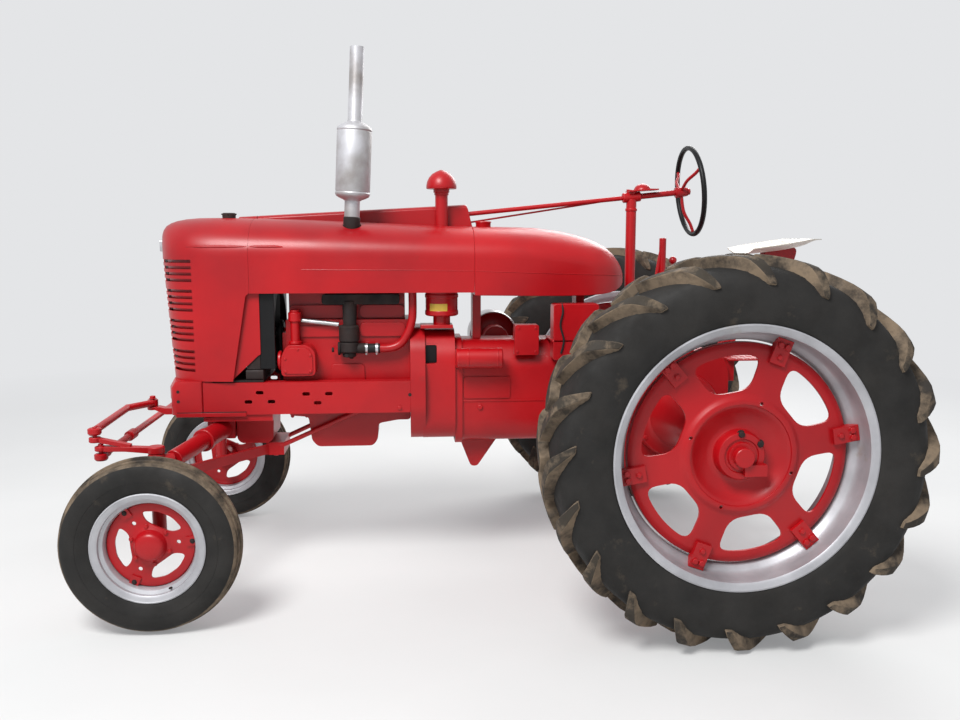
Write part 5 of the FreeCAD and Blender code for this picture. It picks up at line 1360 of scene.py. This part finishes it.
# Frame, transmission and rear
class TRACTOR_OT_chassis(bpy.types.Operator):
    """Makes the rails, bolster, clutch housing, transmission, axle housings, drawbar and boxes"""

    bl_idname = "tractor.chassis"
    bl_label = "Frame and transmission"

    def rail(self):
        form = Form()
        section = [
            (232, 778), (232, 925), (170, 925), (170, 916), (223, 916), (223, 787), (170, 787), (170, 778),
        ]
        form.cross_plate(section, 1240, 2176)
        holes = []
        for middle, z, rise in ((1924, 836.5, 42), (1664, 870, -42)):
            holes += [(middle, z + rise), (middle - 51.5, z), (middle + 51.5, z)]
        for x, z in holes:
            slot = rounded([(x - 17, z - 8.5), (x + 17, z - 8.5), (x + 17, z + 8.5), (x - 17, z + 8.5)], 8.4)
            form.cut(Form().side_plate(slot, 200, 250))
        return form

    def rail_bolts(self):
        form = Form()
        for side in (1, -1):
            form.bolt((1290, side * 231.5, 800), (0, side, 0), 20)
        form.tint = 1
        for side in (1, -1):
            form.across(1243, side * 230, side * 232.8, 860, 8)
            for z in (843, 888):
                form.across(2286, side * 230, side * 235.8, z, 7)
        return form

    def bolster(self):
        half = [(2178, 235), (2300, 235), (2318, 222), (2334, 162), (2350, 112), (2355, 90)]
        outline = rounded(half + [(x, -y) for x, y in reversed(half)], 14)
        form = Form().loft([
            [(x, y, 780) for x, y in outline],
            [(x, y, 932 - 0.26 * max(0, x - 2205)) for x, y in outline],
            [(min(x, 0.85 * x + 0.15 * 2205), 0.985 * y, 933) for x, y in outline],
        ])
        form.cut(Form().block(2120, 2420, -188, 188, 730, 842))
        form.block(2135, 2177, -222.5, 222.5, 843, 931)
        form.upright(2223, 0, 776, 860, 24, sides=32)
        return form

    def carrier(self):
        form = Form().side_plate(
            [(1870, 746), (2180, 746), (2180, 765.7), (2134, 765.7), (2134, 778), (1870, 778)], -222, 222,
        )
        outline = [(1880, 760), (1885, 640), (1905, 620), (2032, 620), (2052, 640), (2052, 760)]
        form.side_plate(rounded(outline, 14), -118, 118)
        form.block(2152, 2180, -70, 70, 645, 760)
        form.along(2040, 2192, 0, 693, 19, sides=32, edge=2)
        form.bolt((2191, 0, 693), (1, 0, 0), 44, 18)
        for side in (1, -1):
            form.block(1985, 2298, side * 232.3, side * 238, 771, 789)
        # A thin black strip along the top of each side strip: painted shadow of the gap between the rail and
        # the plate.
        form.tint = 1
        for side in (1, -1):
            form.block(1985, 2296, side * 232.3, side * 235.5, 789, 793)
        return form

    def clutch_housing(self):
        front = [(-232, 780), (-232, 930), (-190, 1090), (-120, 1160), (120, 1160), (190, 1090), (232, 930),
                 (232, 780), (170, 660), (120, 632), (-120, 632), (-170, 660)]
        bell = [
            (-196, 700), (-196, 1040), (-120, 1150), (120, 1150), (196, 1040), (196, 700), (150, 634),
            (-150, 634),
        ]
        form = Form().cross_plate(rounded(front, 40), 1170, 1239.7)
        form.cross_plate(rounded(bell, 50), 1030, 1182)
        form.cut(
            Form().side_plate(rounded([(1116, 997), (1168, 997), (1168, 1082), (1116, 1082)], 9), 150, 250),
        )
        return form

    def housing(self):
        tube = [
            (-168, 690), (-168, 1000), (-100, 1100), (100, 1100), (168, 1000), (168, 690), (130, 614),
            (-130, 614),
        ]
        form = Form().cross_plate(rounded(tube, 50), 230, 1029.7)
        form.cross_plate(rounded([(y * 1.07, 857 + (z - 857) * 1.045) for y, z in tube], 50), 996, 1029.7)
        rear = [(-230, 470), (-262, 520), (-262, 960), (-220, 1040), (300, 1090), (300, 560), (230, 470)]
        form.side_plate(rounded(rear, 40), -232, 232)
        form.block(-60, 300, -220, 220, 1040, 1092)
        form.side_plate(
            rounded([(1005, 616), (960, 500), (948, 474), (918, 474), (900, 500), (820, 616)], 14), -60, 60,
        )
        form.along(-252, -334, 0, 640, 17.4, sides=32, edge=2)
        form.across(809, -110, -238, 1079, 62, sides=40, edge=4)
        for side in (1, -1):
            form.side_plate(
                rounded([(771, 828), (990, 828), (990, 930), (771, 930)], 14), side * 160, side * 174,
            )
            form.side_plate([(532, 812), (994, 812), (994, 819), (532, 819)], side * 160, side * 171.5)
            form.bolt((913, side * 167, 786), (0, side, 0), 26)
            form.across(634, side * 118, side * 158, 672, 8, edge=1)
        form.across(809, -200, -342, 1079, 15.9, sides=32)
        for x in range(-40, 300, 64):
            for y in (-205, 205):
                form.bolt((x, y, 1091), (0, 0, 1), 20)
        return form

    def axle_housing(self):
        profile = [
            (232.3, 0), (232.3, 205), (300, 205), (322, 196), (330, 160), (345, 142), (440, 118), (560, 92),
            (575, 87), (800, 86), (806, 96), (838, 96), (838, 38.5), (774, 38.5), (774, 0),
        ]
        form = Form().turned([(a, r) for a, r in profile], (0, 0, 760), (0, 1, 0), 64)
        for k in range(8):
            a = math.radians(45 * k + 12)
            form.bolt((184 * math.cos(a), 318, 760 + 184 * math.sin(a)), (0, 1, 0), 24)
        return form

    def drawbar(self):
        outline = [(120, -38), (120, 38)]
        for k in range(17):
            a = math.pi * (0.5 + k / 16)
            outline.append((38 * math.cos(a) - 690, 38 * math.sin(a)))
        form = Form().plan_plate(outline, 405, 435)
        form.cut(Form().upright(-690, 0, 380, 460, 14, sides=32))
        form.block(-470, -430, -300, 300, 391, 405)
        for side in (1, -1):
            form.block(-470, -430, side * 286, side * 300, 391, 560)
            form.block(-470, -142, side * 232.3, side * 300, 520, 560)
            form.bolt((-450, side * 300, 540), (0, side, 0), 26)
        form.upright(100, 0, 405, 469.7, 24, sides=32, edge=2)
        return form

    def platform(self):
        form = Form().block(-560, -262.3, -232, 232, 1000, 1008)
        form.block(-300, -262.3, -200, 200, 900, 1001)
        for x in range(-540, -300, 34):
            for y in (-190, -110, -30, 50, 130, 200):
                form.block(x, x + 20, y - 16, y + 16, 1007, 1010)
        return form

    def box(self):
        form = Form().side_plate(rounded([(372, 1017), (583, 1017), (583, 1277), (372, 1277)], 14), 172, 268)
        form.block(300.3, 588, 60, 268, 1100.3, 1112)
        return form

    def left_box(self):
        outline = rounded([(640, 1034), (756, 1034), (750, 1175), (640, 1175)], 10)
        form = Form().side_plate(outline, 168.3, 196)
        form.side_plate([(642, 1100.3), (752, 1100.3), (748, 1173), (642, 1173)], 100, 169)
        for x, z in ((655, 1050), (740, 1050), (655, 1160), (735, 1160)):
            form.bolt((x, 195.5, z), (0, 1, 0), 12)
        return form

    def pulley(self):
        near, far, out = -250, -415, 125
        form = Form().turned([
            (near - 12, 16.06), (near - 12, 38), (near - 14, 40), (near - 52, 44), (near - 56, 60),
            (near - 56, 108),
            (near - 50, 117), (near, 117), (near - 2, 122), (near - 8, out), (far + 8, out), (far + 2, 122),
            (far, 117),
            (near - 66, 117), (near - 62, 108), (near - 62, 16.06),
        ], (809, 0, 1079), (0, 1, 0), 72)
        for face in form.mesh.faces:
            if self.far_out(face):
                face.material_index = 1
        return form

    def far_out(self, face):
        """Whether a face of the pulley lies on its rim."""
        middle = face.calc_center_median() - at(809, 0, 1079)
        return math.hypot(middle.x, middle.z) > 0.116

    def starter(self):
        form = Form().along(815, 1029.7, 236, 1028, 46, sides=40, edge=5)
        form.block(960, 1029.7, 169, 236, 988, 1062)
        form.along(970, 980, 236, 1028, 47.5, sides=40, edge=2)
        form.along(835, 843, 236, 1028, 47.5, sides=40, edge=2)
        return form

    def saddles(self):
        form = Form()
        for x, top in ((400, 1311.7), (900, 1315.1)):
            form.block(x, x + 40, -55, 55, 1100.3, top)
        return form

    def execute(self, context):
        pair = self.rail()
        pair.done("rail_left", RED, "side_rails", edge=0.002)
        self.rail().flipped().done("rail_right", RED, edge=0.002)
        self.rail_bolts().done("rail_bolts", [RED, IRON])
        # A black block just inside the clutch housing's window: painted shade of the housing's inside.
        shade = Form().block(1112, 1172, 150, 162, 990, 1090)
        shade.done("clutch_window_painted_shade", BLACK)
        self.bolster().done("front_casting", RED, "front_bolster", edge=0.004)
        # The carrier's second finish is the black painted shadow strip along the seam.
        self.carrier().done("pivot_bracket", [RED, BLACK], "axle_carrier", edge=0.003)
        self.clutch_housing().done("clutch_casting", RED, "clutch_housing", edge=0.004)
        self.housing().done("transmission_casting", RED, "transmission_case", edge=0.004)
        self.axle_housing().done("axle_horn_left", RED, "axle_housings", edge=0.002)
        self.axle_housing().flipped().done("axle_horn_right", RED, edge=0.002)
        self.drawbar().done("drawbar_and_frame", RED, "drawbar", edge=0.002)
        self.platform().done("floor_plate", RED, "operator_platform", edge=0.001)
        self.box().done("side_box", RED, edge=0.003)
        strap = Form().tube(
            [(545, 262, 1279), (541, 272, 1240), (552, 273, 1180), (536, 273, 1110), (548, 271, 1050)], 4.5,
        )
        strap.done("side_box_strap", "black rubber")
        self.left_box().done("left_cover_box", RED, "left_box", edge=0.002)
        self.pulley().done("pulley_drum", [RED, STEEL], "belt_pulley")
        self.starter().done("starter_motor", RED, "starter", edge=0.003)
        self.saddles().done("tank_saddles", RED, "tank_supports", edge=0.002)
        label = Form()
        rows = []
        for step in range(9):
            a = math.radians(42 + 8.25 * step)
            corners = ((74, 1225), (76.2, 1225), (76.2, 1275), (74, 1275))
            rows.append([(1090 + r * math.cos(a), 120 + r * math.sin(a), z) for r, z in corners])
        label.loft(rows).done("blank_label", "yellow label")
        return {"FINISHED"}


# Stage
class TRACTOR_OT_stage(bpy.types.Operator):
    """Makes the pale floor, the soft lamps and the camera"""

    bl_idname = "tractor.stage"
    bl_label = "Floor, lamps and camera"

    def floor(self):
        mesh = bpy.data.meshes.new("floor")
        grid = bmesh.new()
        bmesh.ops.create_grid(grid, x_segments=1, y_segments=1, size=40)
        grid.to_mesh(mesh)
        grid.free()
        floor = bpy.data.objects.new("floor", mesh)
        bpy.context.scene.collection.objects.link(floor)
        material = worn_surface(
            "pale floor", linear(226, 226, 224), linear(220, 220, 218), 0.6, 0.8, grain=20.0,
        )
        tree = material.node_tree
        place = tree.nodes.new("ShaderNodeTexCoord")
        distance = tree.nodes.new("ShaderNodeVectorMath")
        distance.operation = "LENGTH"
        tree.links.new(place.outputs["Object"], distance.inputs[0])
        far_share = ramp(tree, distance.outputs["Value"], 2.6, 8.0, 0.3)
        glow = tree.nodes.new("ShaderNodeEmission")
        self.show_pale(tree, tree.nodes["Principled BSDF"], glow, tree.nodes["Material Output"], far_share)
        mesh.materials.append(material)

    def show_pale(self, tree, lit, pale, output, share=None):
        """Shows a pale backdrop to the camera and in reflections, and leaves the lighting as it is."""
        pale.inputs["Color"].default_value = linear(228, 229, 231)
        rays = tree.nodes.new("ShaderNodeLightPath")
        seen = rays.outputs["Is Camera Ray"]
        for name in ("Is Glossy Ray", "Is Transmission Ray"):
            seen = combined(tree, "MAXIMUM", seen, rays.outputs[name])
        if share is not None:
            seen = combined(tree, "MULTIPLY", seen, share)
        mix = tree.nodes.new("ShaderNodeMixShader")
        tree.links.new(seen, mix.inputs[0])
        tree.links.new(lit.outputs[0], mix.inputs[1])
        tree.links.new(pale.outputs[0], mix.inputs[2])
        tree.links.new(mix.outputs[0], output.inputs["Surface"])

    def lamp(self, name, place, target, size, power):
        data = bpy.data.lights.new(name, "AREA")
        data.shape = "DISK"
        data.size = size
        data.energy = power
        lamp = bpy.data.objects.new(name, data)
        lamp.location = place
        lamp.rotation_mode = "QUATERNION"
        lamp.rotation_quaternion = (Vector(target) - Vector(place)).to_track_quat("-Z", "Y")
        bpy.context.scene.collection.objects.link(lamp)

    def execute(self, context):
        scene = bpy.context.scene
        self.floor()
        world = bpy.data.worlds.new("soft sky")
        world.use_nodes = True
        sky = world.node_tree.nodes["Background"]
        sky.inputs["Color"].default_value = (0.93, 0.95, 1.0, 1.0)
        sky.inputs["Strength"].default_value = 0.5
        tree = world.node_tree
        self.show_pale(tree, sky, tree.nodes.new("ShaderNodeBackground"), tree.nodes["World Output"])
        scene.world = world
        self.lamp("key lamp", (2.5, 4.5, 6.5), (0, 0, 0.9), 3.0, 620)
        self.lamp("back lamp", (-3.0, -5.0, 5.0), (0, 0, 1.0), 5.0, 300)
        camera_settings = scene.tractor_camera
        data = bpy.data.cameras.new("camera")
        data.sensor_width = 36.0
        data.lens = camera_settings.lens
        camera = bpy.data.objects.new("camera", data)
        camera.location = camera_settings.place
        yaw, pitch = camera_settings.yaw, camera_settings.pitch
        ahead = Vector((math.sin(yaw) * math.cos(pitch), -math.cos(yaw) * math.cos(pitch), math.sin(pitch)))
        camera.rotation_mode = "QUATERNION"
        camera.rotation_quaternion = ahead.to_track_quat("-Z", "Y")
        scene.collection.objects.link(camera)
        scene.camera = camera
        scene.view_settings.view_transform = "Standard"
        return {"FINISHED"}


# Panel and registration
class TRACTOR_PT_sidebar(bpy.types.Panel):
    bl_label = "Row-Crop Tractor"
    bl_idname = "TRACTOR_PT_sidebar"
    bl_space_type = "VIEW_3D"
    bl_region_type = "UI"
    bl_category = "Tractor"

    def draw(self, context):
        for group in ("tractor_paint", "tractor_tyres", "tractor_panels", "tractor_camera"):
            owner = getattr(context.scene, group)
            box = self.layout.box()
            for name in owner.__annotations__:
                box.prop(owner, name)
        for operator in OPERATORS:
            self.layout.operator(operator.bl_idname)


SETTINGS = {
    "tractor_paint": PaintSettings,
    "tractor_tyres": TyreSettings,
    "tractor_panels": PanelSettings,
    "tractor_camera": CameraSettings,
}
OPERATORS = (
    TRACTOR_OT_stage,
    TRACTOR_OT_tyres,
    TRACTOR_OT_wheels,
    TRACTOR_OT_panels,
    TRACTOR_OT_stacks,
    TRACTOR_OT_front_axle,
    TRACTOR_OT_driver_place,
    TRACTOR_OT_engine,
    TRACTOR_OT_chassis,
)


def register():
    for name, group in SETTINGS.items():
        bpy.utils.register_class(group)
        setattr(bpy.types.Scene, name, bpy.props.PointerProperty(type=group))
    for each in OPERATORS:
        bpy.utils.register_class(each)
    bpy.utils.register_class(TRACTOR_PT_sidebar)


def unregister():
    bpy.utils.unregister_class(TRACTOR_PT_sidebar)
    for each in reversed(OPERATORS):
        bpy.utils.unregister_class(each)
    for name, group in SETTINGS.items():
        delattr(bpy.types.Scene, name)
        bpy.utils.unregister_class(group)


def main():
    register()
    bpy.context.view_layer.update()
    bpy.ops.tractor.stage()
    bpy.ops.tractor.tyres()
    bpy.ops.tractor.wheels()
    bpy.ops.tractor.panels()
    bpy.ops.tractor.stacks()
    bpy.ops.tractor.front_axle()
    bpy.ops.tractor.driver_place()
    bpy.ops.tractor.engine()
    bpy.ops.tractor.chassis()


if __name__ == "__main__":
    main()
